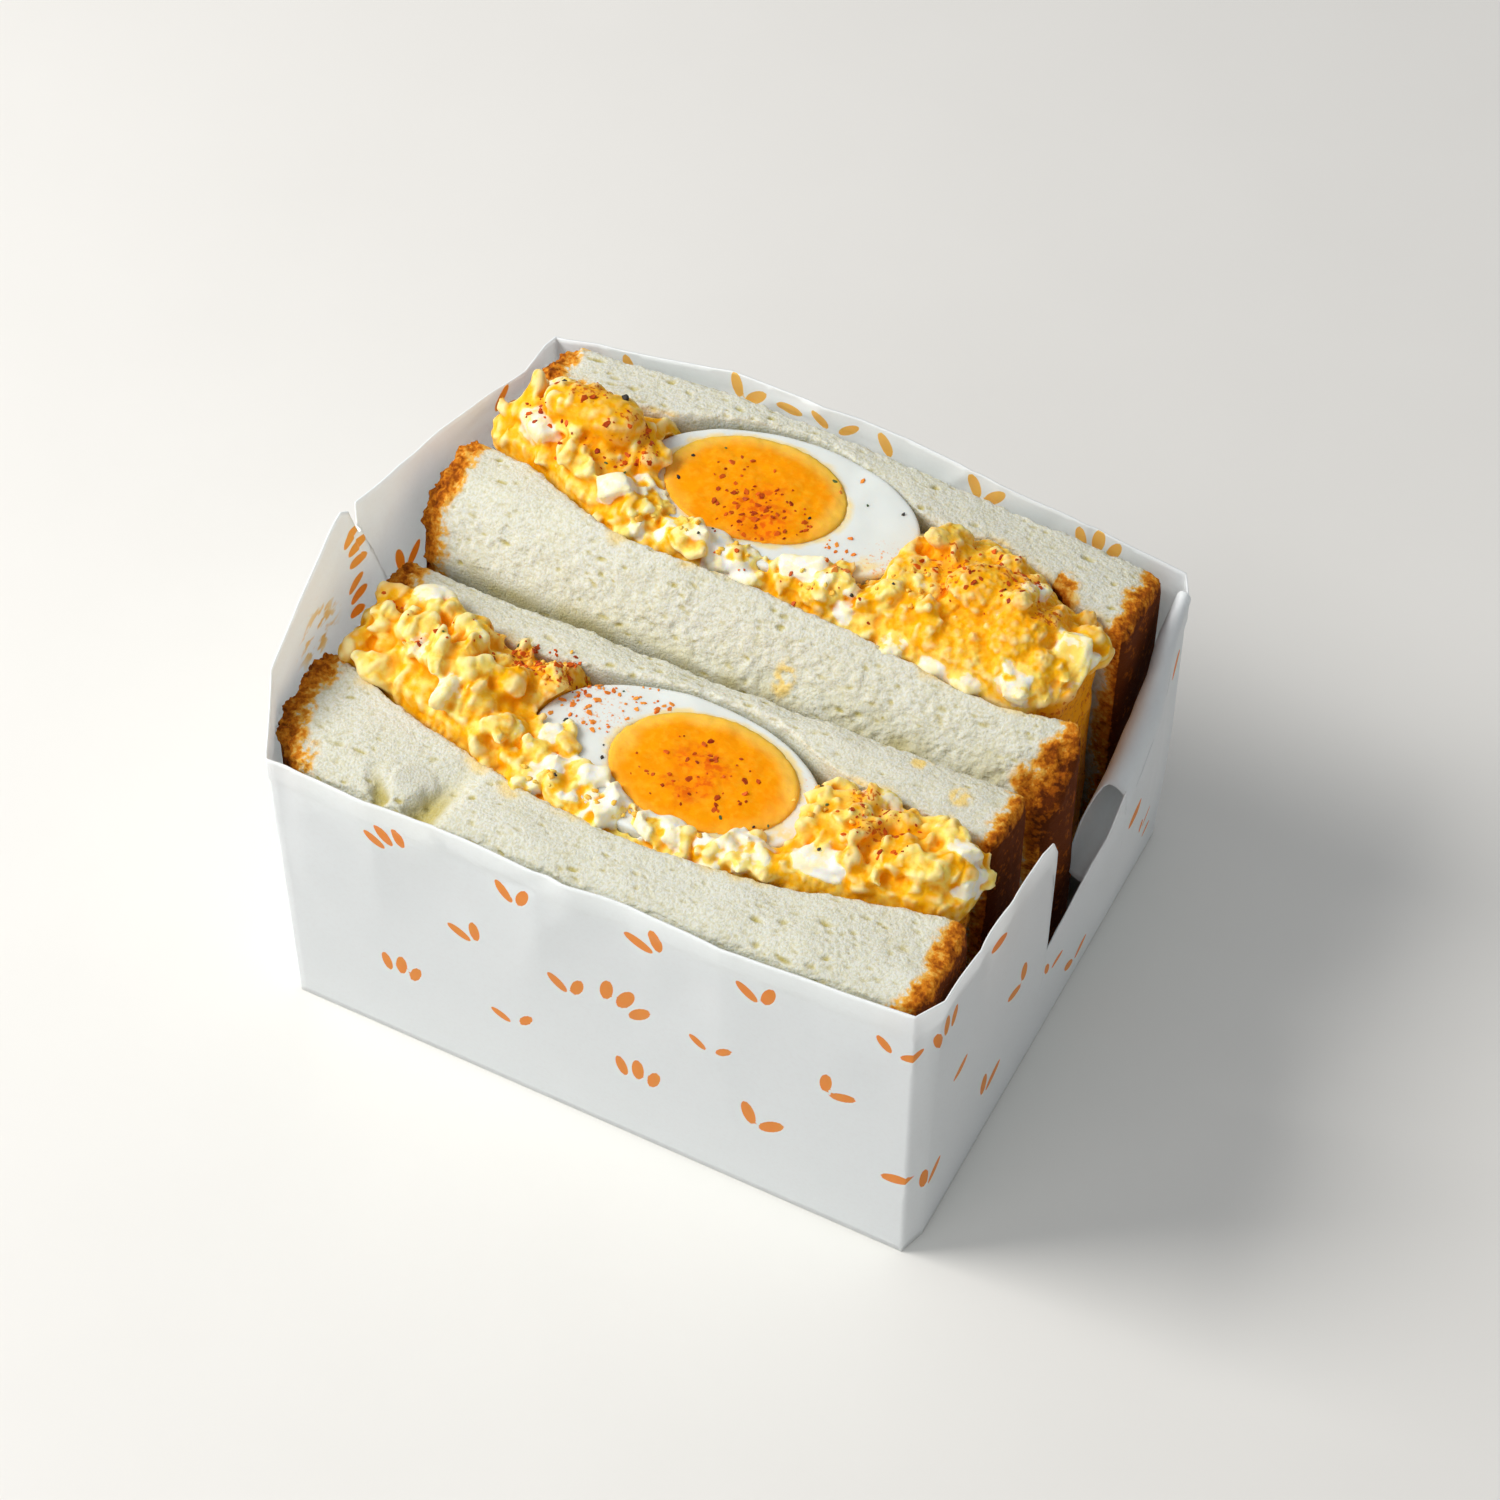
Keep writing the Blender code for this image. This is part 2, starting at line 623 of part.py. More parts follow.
def scattered_flakes(egg, draw, count, white_share):
    """Chilli chips on the yolk, or on the ring of white beside it where white_share is set."""
    flakes = []
    for index in range(count):
        turn = 2 * math.pi * (index + draw.uniform(0.2, 0.8)) / count
        if white_share:
            turn = mix(0.25, 0.95, (index + draw.random()) / count) * math.pi
            x = egg.centre[0] + EGG_LENGTH / 2 * white_share * math.cos(turn)
            y = egg.centre[1] + EGG_WIDTH / 2 * (white_share + 0.03) * math.sin(turn)
            inside = math.hypot((x - egg.yolk_centre[0]) / (YOLK_LENGTH / 2 + 1.8),
                                (y - egg.yolk_centre[1]) / (YOLK_WIDTH / 2 + 1.8)) < 1
            if inside:
                continue
            lift = 0.15
        else:
            share = draw.uniform(0.15, 0.72)
            x = egg.yolk_centre[0] + YOLK_LENGTH / 2 * share * math.cos(turn)
            y = egg.yolk_centre[1] + YOLK_WIDTH / 2 * share * math.sin(turn)
            lift = 0.85
        flakes.append(add_flake((x, y, egg.cut_height(x, y) + lift), draw))
    return flakes


# The wrapper's upper edge. Along the front and the back it is read at x, along the sides at y.
FRONT_EDGE = smooth_line((-66, 65), (-30, 66), (20, 66.5), (62, 68.5))
BACK_EDGE = smooth_line((-64, 69), (-26, 75.8), (24, 73), (60, 67.5))
LEFT_EDGE = straight_line((WRAPPER_FRONT, 66), (-40, 72.5), (-10, 81), (-8.4, 80), (-6.8, 73.5),
                          (-5.2, 73.5), (-4.4, 78), (25, 74.5), (WRAPPER_BACK, 69))
RIGHT_EDGE = straight_line((WRAPPER_FRONT, 68.5), (-10, 64.5), (-6, 63), (-4.2, 59), (-3.6, 31),
                           (1, 33.5), (15, 43), (21, 49.5), (WRAPPER_BACK - 6, 65), (WRAPPER_BACK, 67.5))
SIDE_COLUMNS_LEFT = (-40, -30, -20, -10, -8.4, -6.8, -5.2, -4.4, 8, 20, 32, 44)
SIDE_COLUMNS_RIGHT = (49, 41, 31, 21, 15, 8, 1, -3.6, -4.2, -6, -10, -20, -30, -40, -47)

# How far the walls lean outward at the cut faces' height, read along the left and right sides.
LEFT_LEAN = smooth_line((WRAPPER_FRONT, -2.2), (-40, -1.0), (-9, 2.2), (20, 0.8), (WRAPPER_BACK, -3.4))
RIGHT_LEAN = smooth_line((WRAPPER_FRONT, 1.0), (-6, 1.6), (20, 3.4), (WRAPPER_BACK, 0.4))
# How far the right wall bulges halfway up.
RIGHT_BULGE = smooth_line((WRAPPER_FRONT, 0.0), (0, 1.5), (30, 3.6), (WRAPPER_BACK, 0.5))
WALL_ROWS = (0.0, 0.05, 0.35, 0.65, 0.88, 1.0)
FACE_COLUMNS = 8
CORNER_CUT = 1.6
FRONT_LEFT_FOLD = 7.0


def wrapper_columns():
    """Foot, lean and height of each upright line of the wrapper's wall, round the sandwich."""
    columns = []

    def add(x, y, lean_x, lean_y, height):
        columns.append(((x, y), (lean_x, lean_y), height))

    for x in np.linspace(WRAPPER_LEFT + FRONT_LEFT_FOLD, WRAPPER_RIGHT - CORNER_CUT, FACE_COLUMNS):
        add(x, WRAPPER_FRONT, 0, -0.6 + ripple(x, 0, 3, 18, 1.0), FRONT_EDGE(x))
    for y in reversed(SIDE_COLUMNS_RIGHT):
        add(WRAPPER_RIGHT, y, RIGHT_LEAN(y), 0, RIGHT_EDGE(y))
    for x in np.linspace(WRAPPER_RIGHT - CORNER_CUT, WRAPPER_LEFT + CORNER_CUT, FACE_COLUMNS):
        add(x, WRAPPER_BACK, 0, 0.8 + ripple(x, 5, 3, 18, 1.0), BACK_EDGE(x))
    for y in reversed(SIDE_COLUMNS_LEFT):
        add(WRAPPER_LEFT, y, -LEFT_LEAN(y), 0, LEFT_EDGE(y))
    return columns


def add_wrapper(material):
    """One thin sheet folded up round both halves, open at the top."""
    columns = wrapper_columns()
    count = len(columns)
    vertices = []
    for share in WALL_ROWS:
        for (x, y), (lean_x, lean_y), height in columns:
            z = share * height
            lean = (z / FRONT_HEIGHT) ** 2
            bulge = 0.0
            if x == WRAPPER_RIGHT:
                bulge = RIGHT_BULGE(y) * math.sin(math.pi * min(z / FRONT_HEIGHT, 1.0))
            vertices.append((x + lean_x * lean + bulge, y + lean_y * lean, PAPER_THICKNESS / 2 + z))
    faces = []
    for row in range(len(WALL_ROWS) - 1):
        for column in range(count):
            following = (column + 1) % count
            corners = (column, following, count + following, count + column)
            faces.append([row * count + corner for corner in corners])
    faces.append(list(range(count)))
    sheet = add_object("paper_wrapper", vertices, faces, material)
    modifier = sheet.modifiers.new("thickness", "SOLIDIFY")
    modifier.thickness = PAPER_THICKNESS * METRES
    modifier.offset = 0.0
    modifier.use_even_offset = True
    return sheet


def centre_on_origin():
    """Hangs every piece on one empty that puts the middle of the base at the origin."""
    bpy.context.view_layer.update()
    depsgraph = bpy.context.evaluated_depsgraph_get()
    items = [item for item in bpy.data.objects if item.type == "MESH"]
    points = []
    for item in items:
        evaluated = item.evaluated_get(depsgraph)
        points += [evaluated.matrix_world @ Vector(corner) for corner in evaluated.bound_box]
    low = [min(point[axis] for point in points) for axis in range(3)]
    high = [max(point[axis] for point in points) for axis in range(3)]
    base = bpy.data.objects.new("sandwich", None)
    bpy.context.scene.collection.objects.link(base)
    base.location = (-(low[0] + high[0]) / 2, -(low[1] + high[1]) / 2, -low[2])
    for item in items:
        item.parent = base


def main():
    clear_scene()
    materials = make_materials()
    add_bread(materials)
    front_egg = Egg("front", (1.0, -20.9), (5.0, 0.6), FRONT_RIDGE, -0.02)
    front_heaps = (
        Heap(-61, -24, 0.2, 0.8, 9, 5),
        Heap(-24, 30, 0.08, 0.2, 6, 6),
        Heap(27, 56, 0.2, 0.8, 7, 4),
    )
    add_filling("front", front_egg, front_heaps, front_filling, front_cut_height, FRONT_RISE, 11, materials)
    back_egg = Egg("back", (-7.5, 33.9), (-5.0, 0.4), BACK_RIDGE, -0.02)
    back_heaps = (
        Heap(-59, -34, 0.2, 0.8, 7, 3),
        Heap(-34, 16, 0.08, 0.22, 6, 6),
        Heap(17, 56, 0.2, 0.8, 9, 6),
    )
    add_filling("back", back_egg, back_heaps, back_filling, back_cut_height, BACK_RISE, 23, materials)
    add_wrapper(materials["paper"])
    centre_on_origin()


main()
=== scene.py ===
"""Looks of an egg salad sandwich, cut in two and stood up in its white paper.

Lengths are in millimetres while shapes are made, in the part's own frame, and become metres at the
end. +X runs along the cut faces, +Y from the front half to the back half, +Z up.
"""
import bisect
import math
import random

import bmesh
import bpy
import numpy as np
from mathutils import Matrix, Vector, kdtree, noise
from mathutils.bvhtree import BVHTree


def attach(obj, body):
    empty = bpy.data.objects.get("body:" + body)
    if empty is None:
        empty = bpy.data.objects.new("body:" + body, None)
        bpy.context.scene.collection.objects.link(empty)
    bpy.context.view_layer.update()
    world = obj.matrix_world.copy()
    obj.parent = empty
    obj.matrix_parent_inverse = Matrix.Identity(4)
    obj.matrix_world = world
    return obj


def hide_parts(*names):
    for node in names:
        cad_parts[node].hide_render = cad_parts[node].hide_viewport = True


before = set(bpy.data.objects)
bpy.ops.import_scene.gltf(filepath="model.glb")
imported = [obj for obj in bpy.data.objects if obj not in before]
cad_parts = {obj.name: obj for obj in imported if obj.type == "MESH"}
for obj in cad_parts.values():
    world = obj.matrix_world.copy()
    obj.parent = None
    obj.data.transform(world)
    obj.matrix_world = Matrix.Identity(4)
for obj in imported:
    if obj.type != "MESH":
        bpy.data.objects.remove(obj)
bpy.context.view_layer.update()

MM = 0.001
# From the middle of the drawing, where the outlines below are given, to the part's origin.
SHIFT = np.array((1.86, -1.96, 0.0))
# Heights of the two cut faces, one that the cut faces lie above, and one above everything.
FRONT_CUT = 64.4
BACK_CUT = 74.05
CUT_FACE_ABOVE = 50.0
ABOVE_ALL = 200.0
pieces = []


# Numbers and noise.

def mix(start, end, amount):
    return start + (end - start) * amount


def unit(vector):
    return vector / np.linalg.norm(vector)


def rise(values, low, high):
    """0 below low, 1 above high, and smooth between them."""
    amount = np.clip((values - low) / (high - low), 0.0, 1.0)
    return amount * amount * (3.0 - 2.0 * amount)


def near_cut(heights):
    """0 well below the cut faces and 1 near them."""
    return rise(heights, 54, 60)


def smooth_line(*points):
    """A function that runs smoothly through a few points, each (position, value)."""
    places = [point[0] for point in points]
    values = [point[1] for point in points]
    slopes = np.gradient(values, places)

    def value_at(place):
        place = min(max(place, places[0]), places[-1])
        index = min(bisect.bisect_right(places, place), len(places) - 1) - 1
        width = places[index + 1] - places[index]
        t = (place - places[index]) / width
        bend = t * (1 - t) * width * ((1 - t) * slopes[index] - t * slopes[index + 1])
        return mix(values[index], values[index + 1], t * t * (3 - 2 * t)) + bend

    return value_at


def straight_line(*points):
    """A function with straight runs between a few points, each (position, value)."""
    places = [point[0] for point in points]
    values = [point[1] for point in points]
    return lambda place: float(np.interp(place, places, values))


def cell_number(cell, seed):
    """A repeatable number from 0 to 1 for each whole-numbered cell."""
    mixed = cell[..., 0] * 374761393 + cell[..., 1] * 668265263 + cell[..., 2] * 1442695041 + seed * 97531
    mixed = ((mixed ^ (mixed >> 13)) * 1274126177) & 0x7FFFFFFFFFFF
    mixed = ((mixed ^ (mixed >> 15)) * 2246822519) & 0x7FFFFFFFFFFF
    return ((mixed ^ (mixed >> 16)) & 0xFFFFF) / 0xFFFFF


def soft_noise(points, size, seed):
    """Smooth noise from -1 to 1, with features of the given size."""
    scaled = np.asarray(points) / size + 17.3 * seed
    base = np.floor(scaled).astype(np.int64)
    part = scaled - base
    part = part * part * (3 - 2 * part)
    total = 0.0
    for corner in np.ndindex(2, 2, 2):
        share = np.prod(np.where(corner, part, 1 - part), axis=-1)
        total = total + share * cell_number(base + np.array(corner), seed)
    return total * 2 - 1


def layered_noise(points, size, seed, layers=3):
    total = 0.0
    for layer in range(layers):
        total = total + soft_noise(points, size / 2 ** layer, seed + layer) / 2 ** layer
    return total


def cells(points, size, seed):
    """Distance to the nearest of many scattered points, in units of size, and that point's number."""
    scaled = np.asarray(points) / size
    base = np.floor(scaled).astype(np.int64)
    nearest = np.full(len(scaled), 9.0)
    number = np.zeros(len(scaled))
    for step in np.ndindex(3, 3, 3):
        cell = base + (np.array(step) - 1)
        place = cell + np.stack([cell_number(cell, seed + axis) for axis in range(3)], axis=-1)
        distance = np.linalg.norm(scaled - place, axis=-1)
        closer = distance < nearest
        nearest[closer] = distance[closer]
        number[closer] = cell_number(cell[closer], seed + 7)
    return nearest, number


def wander(points, size, seed):
    """A smooth random offset for each point."""
    return np.stack([soft_noise(points, size, seed + axis) for axis in range(3)], axis=-1)


def away_from(points, x, y, reach_x, reach_y=None):
    """Distance on the plan from a place, as 1 at its reach along each axis."""
    return np.hypot((points[:, 0] - x) / reach_x, (points[:, 1] - y) / (reach_y or reach_x))


def spots(points, places, size, seed, low, high):
    """How strongly each point lies in one of the patchy round spots, each (x, y, radius)."""
    strength = np.zeros(len(points))
    for x, y, radius in places:
        strength = np.maximum(strength, 1 - rise(away_from(points, x, y, radius), 0.35, 1.0))
    return strength * rise(layered_noise(points, size, seed), low, high)


# Meshes.

def placed(name, data):
    """A new object in the scene."""
    thing = bpy.data.objects.new(name, data)
    bpy.context.scene.collection.objects.link(thing)
    return thing


def new_piece(name, vertices, faces, material=None):
    mesh = bpy.data.meshes.new(name)
    mesh.from_pydata([tuple(vertex) for vertex in vertices], [], [tuple(face) for face in faces])
    mesh.shade_smooth()
    if material:
        mesh.materials.append(material)
    return placed(name, mesh)


def copy_of(node, name):
    """A new piece with a CAD node's shape, in millimetres, with its split corners joined."""
    body = bmesh.new()
    body.from_mesh(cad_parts[node].data)
    bmesh.ops.remove_doubles(body, verts=body.verts, dist=1e-6)
    bmesh.ops.scale(body, verts=body.verts, vec=(1 / MM,) * 3)
    mesh = bpy.data.meshes.new(name)
    body.to_mesh(mesh)
    body.free()
    return placed(name, mesh)


def modify(piece, kind, **settings):
    """Applies one modifier."""
    modifier = piece.modifiers.new(kind.lower(), kind)
    for name, value in settings.items():
        setattr(modifier, name, value)
    bpy.context.view_layer.update()
    evaluated = piece.evaluated_get(bpy.context.evaluated_depsgraph_get())
    mesh = bpy.data.meshes.new_from_object(evaluated)
    piece.modifiers.clear()
    piece.data = mesh
    mesh.shade_smooth()


def vectors(items, kind):
    values = np.empty(len(items) * 3, dtype=np.float32)
    items.foreach_get(kind, values)
    return values.reshape(-1, 3).astype(float)


def points_of(mesh):
    return vectors(mesh.vertices, "co")


def normals_of(mesh):
    return vectors(mesh.vertex_normals, "vector")


def set_points(mesh, points):
    mesh.vertices.foreach_set("co", points.astype(np.float32).ravel())
    mesh.update()


def set_attribute(mesh, name, values):
    attribute = mesh.attributes.new(name, "FLOAT", "POINT")
    attribute.data.foreach_set("value", np.asarray(values, dtype=np.float32))


def averaged(mesh, values, rounds):
    """Values at the vertices, each replaced a number of times by its neighbours' mean."""
    edges = np.empty(len(mesh.edges) * 2, dtype=np.int32)
    mesh.edges.foreach_get("vertices", edges)
    start, end = edges.reshape(-1, 2).T
    total = len(mesh.vertices)
    links = np.bincount(start, minlength=total) + np.bincount(end, minlength=total)
    values = np.array(values, dtype=float).reshape(total, -1)
    for _ in range(rounds):
        sums = [np.bincount(start, column[end], total) + np.bincount(end, column[start], total)
                for column in values.T]
        values = np.stack(sums, axis=-1) / np.maximum(links, 1)[:, None]
    return values if values.shape[1] > 1 else values[:, 0]


def smoothed(mesh):
    """The mesh's points, drawn toward their neighbours."""
    points = points_of(mesh)
    return mix(points, averaged(mesh, points, 2), 0.7)


def hollows(mesh, rounds):
    """How far each vertex lies below the mean of the surface round it."""
    points = points_of(mesh)
    return np.sum((averaged(mesh, points, rounds) - points) * normals_of(mesh), axis=1)


def thin_out(piece, shown, keep):
    """Fewer faces where shown is false, on the parts that nothing shows."""
    group = piece.vertex_groups.new(name="hidden")
    group.add([int(index) for index in np.flatnonzero(~shown)], 1.0, "REPLACE")
    share = float(np.mean(shown))
    modify(piece, "DECIMATE", vertex_group=group.name, ratio=min(1.0, share + keep * (1 - share)))
    piece.vertex_groups.clear()


def refine(piece, wanted):
    """Splits the faces where wanted(middle, normal) is true, each edge in two."""
    body = bmesh.new()
    body.from_mesh(piece.data)
    edges = {edge for face in body.faces if wanted(face.calc_center_median(), face.normal)
             for edge in face.edges}
    bmesh.ops.subdivide_edges(body, edges=list(edges), cuts=1, use_grid_fill=True)
    bmesh.ops.triangulate(body, faces=[face for face in body.faces if len(face.verts) > 3])
    body.to_mesh(piece.data)
    body.free()
    piece.data.shade_smooth()


def tree_of(places):
    """A tree that finds the nearest of some places."""
    tree = kdtree.KDTree(len(places))
    for index, place in enumerate(places):
        tree.insert(place, index)
    tree.balance()
    return tree


def grid_faces(rows, columns, closed=True):
    """Faces between neighbouring rows of points, and from the last column to the first where closed."""
    return [[row * columns + column, row * columns + (column + 1) % columns,
             (row + 1) * columns + (column + 1) % columns, (row + 1) * columns + column]
            for row in range(rows - 1) for column in range(columns if closed else columns - 1)]


def emptied(body):
    """Vertices and faces of a bmesh, which is then freed."""
    body.verts.index_update()
    vertices = np.array([vertex.co for vertex in body.verts])
    faces = [[vertex.index for vertex in face.verts] for face in body.faces]
    body.free()
    return vertices, faces


def turned(x, y, z):
    """A rotation by degrees round each axis."""
    return np.array(Matrix.Rotation(math.radians(z), 3, "Z") @ Matrix.Rotation(math.radians(y), 3, "Y")
                    @ Matrix.Rotation(math.radians(x), 3, "X"))


def random_turn(draw, tilt):
    """A random rotation that tilts by no more than an angle round X and Y."""
    tilted = (Matrix.Rotation(draw.uniform(-tilt, tilt), 3, "X")
              @ Matrix.Rotation(draw.uniform(-tilt, tilt), 3, "Y"))
    return np.array(tilted @ Matrix.Rotation(draw.uniform(0, 2 * math.pi), 3, "Z"))


def merged(shapes):
    """Many small shapes, each (vertices, faces, tint), as all vertices, all faces and both kinds' tints."""
    faces, vertex_tints, face_tints = [], [], []
    for points, corners, tint in shapes:
        start = len(vertex_tints)
        faces += [[start + index for index in face] for face in corners]
        vertex_tints += [tint] * len(points)
        face_tints += [tint] * len(corners)
    return np.concatenate([points for points, _, _ in shapes]), faces, vertex_tints, face_tints


def joined(name, shapes, material):
    """One piece from many small shapes."""
    vertices, faces, tints, _ = merged(shapes)
    piece = new_piece(name, vertices, faces, material)
    set_attribute(piece.data, "tint", tints)
    return piece


def join(piece, extra):
    """Adds the extra piece's mesh to the first piece."""
    body = bmesh.new()
    body.from_mesh(piece.data)
    body.from_mesh(extra.data)
    body.to_mesh(piece.data)
    body.free()
    bpy.data.objects.remove(extra, do_unlink=True)


def chip(place, normal, size, draw):
    """A flat flake with an uneven outline, lying on a surface, as (vertices, faces, tint)."""
    corners = 6
    thickness = 0.16
    outline = []
    for index in range(corners):
        angle = 2 * math.pi * (index + draw.uniform(-0.25, 0.25)) / corners
        reach = draw.uniform(0.55, 1.0) * size
        outline.append((reach * math.cos(angle), reach * math.sin(angle) * 0.7))
    lower = [(x, y, -thickness / 2) for x, y in outline]
    upper = [(x * 0.8, y * 0.8, thickness / 2) for x, y in outline]
    faces = grid_faces(2, corners)
    faces.append(list(range(corners))[::-1])
    faces.append(list(range(corners, 2 * corners)))
    upright = np.array(Vector((0, 0, 1)).rotation_difference(Vector(normal)).to_matrix())
    laid = np.array(lower + upper) @ random_turn(draw, 0.35).T @ upright.T
    return laid + np.array(place) + np.array(normal) * thickness * 0.3, faces, draw.random()


def block(place, sizes, turn, draw):
    """A cut block with uneven sides and soft edges, as (vertices, faces, tint)."""
    body = bmesh.new()
    bmesh.ops.create_cube(body, size=1.0)
    bmesh.ops.bevel(body, geom=body.edges, offset=0.13, segments=2, affect="EDGES", profile=0.6)
    bmesh.ops.subdivide_edges(body, edges=body.edges, cuts=1, use_grid_fill=True)
    bmesh.ops.triangulate(body, faces=body.faces)
    vertices, faces = emptied(body)
    shear = np.eye(3)
    shear[0, 1], shear[1, 2], shear[0, 2] = [draw.uniform(-0.22, 0.22) for _ in range(3)]
    shaped = (vertices * sizes) @ shear.T @ turn.T
    shaped += 0.5 * soft_noise(shaped + draw.uniform(0, 50), 2.0, 5)[:, None]
    return shaped + np.array(place), faces, draw.random()


def blob(place, radii, turn, draw, detail=3, roughness=0.25, bend=0.0, square=0.8):
    """An uneven rounded lump with blunt ends, bent along its length, as (vertices, faces, tint)."""
    body = bmesh.new()
    bmesh.ops.create_icosphere(body, subdivisions=detail, radius=1.0)
    vertices, faces = emptied(body)
    bumps = 1 + roughness * layered_noise(vertices + draw.uniform(0, 99), 0.9, 3, 2)
    blunt = np.sign(vertices) * np.abs(vertices) ** square
    shaped = blunt * bumps[:, None] * radii
    shaped[:, 1] += bend * shaped[:, 0] ** 2 / radii[0]
    return shaped @ turn.T + np.array(place), faces, draw.random()


def surface_samples(piece, count, seed):
    """Random places on a piece, spread evenly over its area, and the normals there."""
    mesh = piece.data
    mesh.calc_loop_triangles()
    corners = np.array([triangle.vertices for triangle in mesh.loop_triangles])
    first, second, third = points_of(mesh)[corners].transpose(1, 0, 2)
    across = np.cross(second - first, third - first)
    areas = np.linalg.norm(across, axis=1)
    draw = np.random.default_rng(seed)
    chosen = draw.choice(len(areas), count, p=areas / areas.sum())
    near, far = np.sort(draw.random((2, count)), axis=0)
    places = (near[:, None] * first[chosen] + (far - near)[:, None] * second[chosen]
              + (1 - far)[:, None] * third[chosen])
    return places, across[chosen] / areas[chosen][:, None]


class Ground:
    """The surfaces that small things can lie on."""

    def __init__(self, *surfaces):
        bpy.context.view_layer.update()
        depsgraph = bpy.context.evaluated_depsgraph_get()
        self.trees = [BVHTree.FromObject(surface, depsgraph) for surface in surfaces]

    def below(self, x, y):
        """The highest point and its normal under (x, y), or None."""
        best = None
        for tree in self.trees:
            place, normal = tree.ray_cast(Vector((x, y, ABOVE_ALL)), Vector((0, 0, -1)))[:2]
            if place is not None and (best is None or place.z > best[0].z):
                best = (place, normal)
        return best


def finish(piece, slot, *nodes):
    """Notes a piece and hides the CAD nodes that it replaces; the slot of its material is not used."""
    pieces.append(piece)
    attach(piece, "root")
    if nodes:
        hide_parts(*nodes)


# Materials.

class Paint:
    """Short calls for building one material's nodes, with its tone laid down colour by colour."""

    def __init__(self, name, roughness, **sockets):
        self.material = bpy.data.materials.new(name)
        self.material.use_nodes = True
        self.tree = self.material.node_tree
        self.shader = self.tree.nodes["Principled BSDF"]
        for socket, value in {"Roughness": roughness, **sockets}.items():
            self.shader.inputs[socket.replace("_", " ")].default_value = value

    def node(self, kind, output, inputs, **settings):
        """The output of a new node, with its settings and its inputs by name or number."""
        node = self.tree.nodes.new(kind)
        for name, value in settings.items():
            setattr(node, name, value)
        for name, value in inputs.items():
            self.fill(node.inputs[name], value)
        return node.outputs[output]

    def fill(self, socket, value):
        """Sets a socket from another node's output, a colour, a vector or a number."""
        if isinstance(value, bpy.types.NodeSocket):
            self.tree.links.new(value, socket)
        elif socket.type == "RGBA":
            socket.default_value = (*value, 1.0)
        else:
            socket.default_value = value

    def attribute(self, name):
        return self.node("ShaderNodeAttribute", "Fac", {}, attribute_name=name)

    def grain(self, size, detail=3.0, stretch=(1, 1, 1)):
        """Noise from 0 to 1 with features of a size in millimetres."""
        place = self.node("ShaderNodeTexCoord", "Object", {})
        place = self.node("ShaderNodeMapping", "Vector", {"Vector": place, "Scale": stretch})
        inputs = {"Vector": place, "Scale": 1 / (size * MM), "Detail": detail}
        return self.node("ShaderNodeTexNoise", "Fac", inputs)

    def math(self, operation, first, second):
        return self.node("ShaderNodeMath", 0, {0: first, 1: second}, operation=operation)

    def times(self, first, second):
        return self.math("MULTIPLY", first, second)

    def span(self, value, low, high, start=0.0, end=1.0):
        """Maps low..high to start..end and stops there."""
        inputs = {"Value": value, "From Min": low, "From Max": high, "To Min": start, "To Max": end}
        return self.node("ShaderNodeMapRange", "Result", inputs, interpolation_type="SMOOTHSTEP")

    def patches(self, size, low, high, start=0.0, end=1.0, detail=3.0):
        return self.span(self.grain(size, detail), low, high, start, end)

    def blend(self, amount, first, second):
        return self.node("ShaderNodeMix", 2, {"Factor": amount, 6: first, 7: second}, data_type="RGBA")

    def start(self, amount, first, second):
        """The first tone, between two colours."""
        self.tone = self.blend(amount, first, second)

    def cover(self, amount, color):
        """Lays a colour over the tone so far, by an amount."""
        self.tone = self.blend(amount, self.tone, color)

    def bump(self, height, strength, distance):
        inputs = {"Strength": strength, "Distance": distance * MM, "Height": height}
        self.fill(self.shader.inputs["Normal"], self.node("ShaderNodeBump", "Normal", inputs))

    def soften(self, weight, radius):
        """Light that spreads below the surface, radius in millimetres for red, green and blue."""
        for name, value in (("Weight", weight), ("Radius", radius), ("Scale", MM)):
            self.shader.inputs["Subsurface " + name].default_value = value

    def done(self):
        self.fill(self.shader.inputs["Base Color"], self.tone)
        return self.material


def bread_paint():
    paint = Paint("crumb_and_crust", 0.9, IOR=1.4, Specular_IOR_Level=0.2)
    paint.soften(0.3, (1.4, 1.1, 0.8))
    crust = paint.attribute("crust")
    fine = paint.grain(0.45)
    paint.start(paint.grain(8.0), (0.73, 0.735, 0.68), (0.70, 0.69, 0.57))
    # Painted shade: olive in the crumb's holes, torn hollows and sunken groove.
    paint.cover(paint.span(paint.attribute("crumb_shade"), 0.0, 1.0, 0.0, 0.95), (0.50, 0.41, 0.11))
    paint.cover(paint.span(fine, 0.42, 0.62, 0.0, 0.42), (0.60, 0.55, 0.30))
    paint.cover(paint.span(paint.attribute("stain"), 0.1, 1.0, 0.0, 0.75), (0.90, 0.62, 0.13))
    mottle = paint.math("ADD", paint.patches(2.2, 0.35, 0.65, -0.16, 0.16),
                        paint.patches(0.8, 0.35, 0.65, -0.12, 0.12))
    patchy = paint.math("ADD", crust, paint.times(mottle, paint.span(crust, 0.02, 0.3)))
    for low, high, color in ((0.02, 0.28, (0.80, 0.43, 0.07)), (0.25, 0.5, (0.64, 0.21, 0.010)),
                             (0.48, 0.75, (0.36, 0.088, 0.003)), (0.72, 1.0, (0.11, 0.021, 0.001))):
        paint.cover(paint.span(patchy, low, high), color)
    paint.bump(fine, 0.7, 0.35)
    return paint.done()


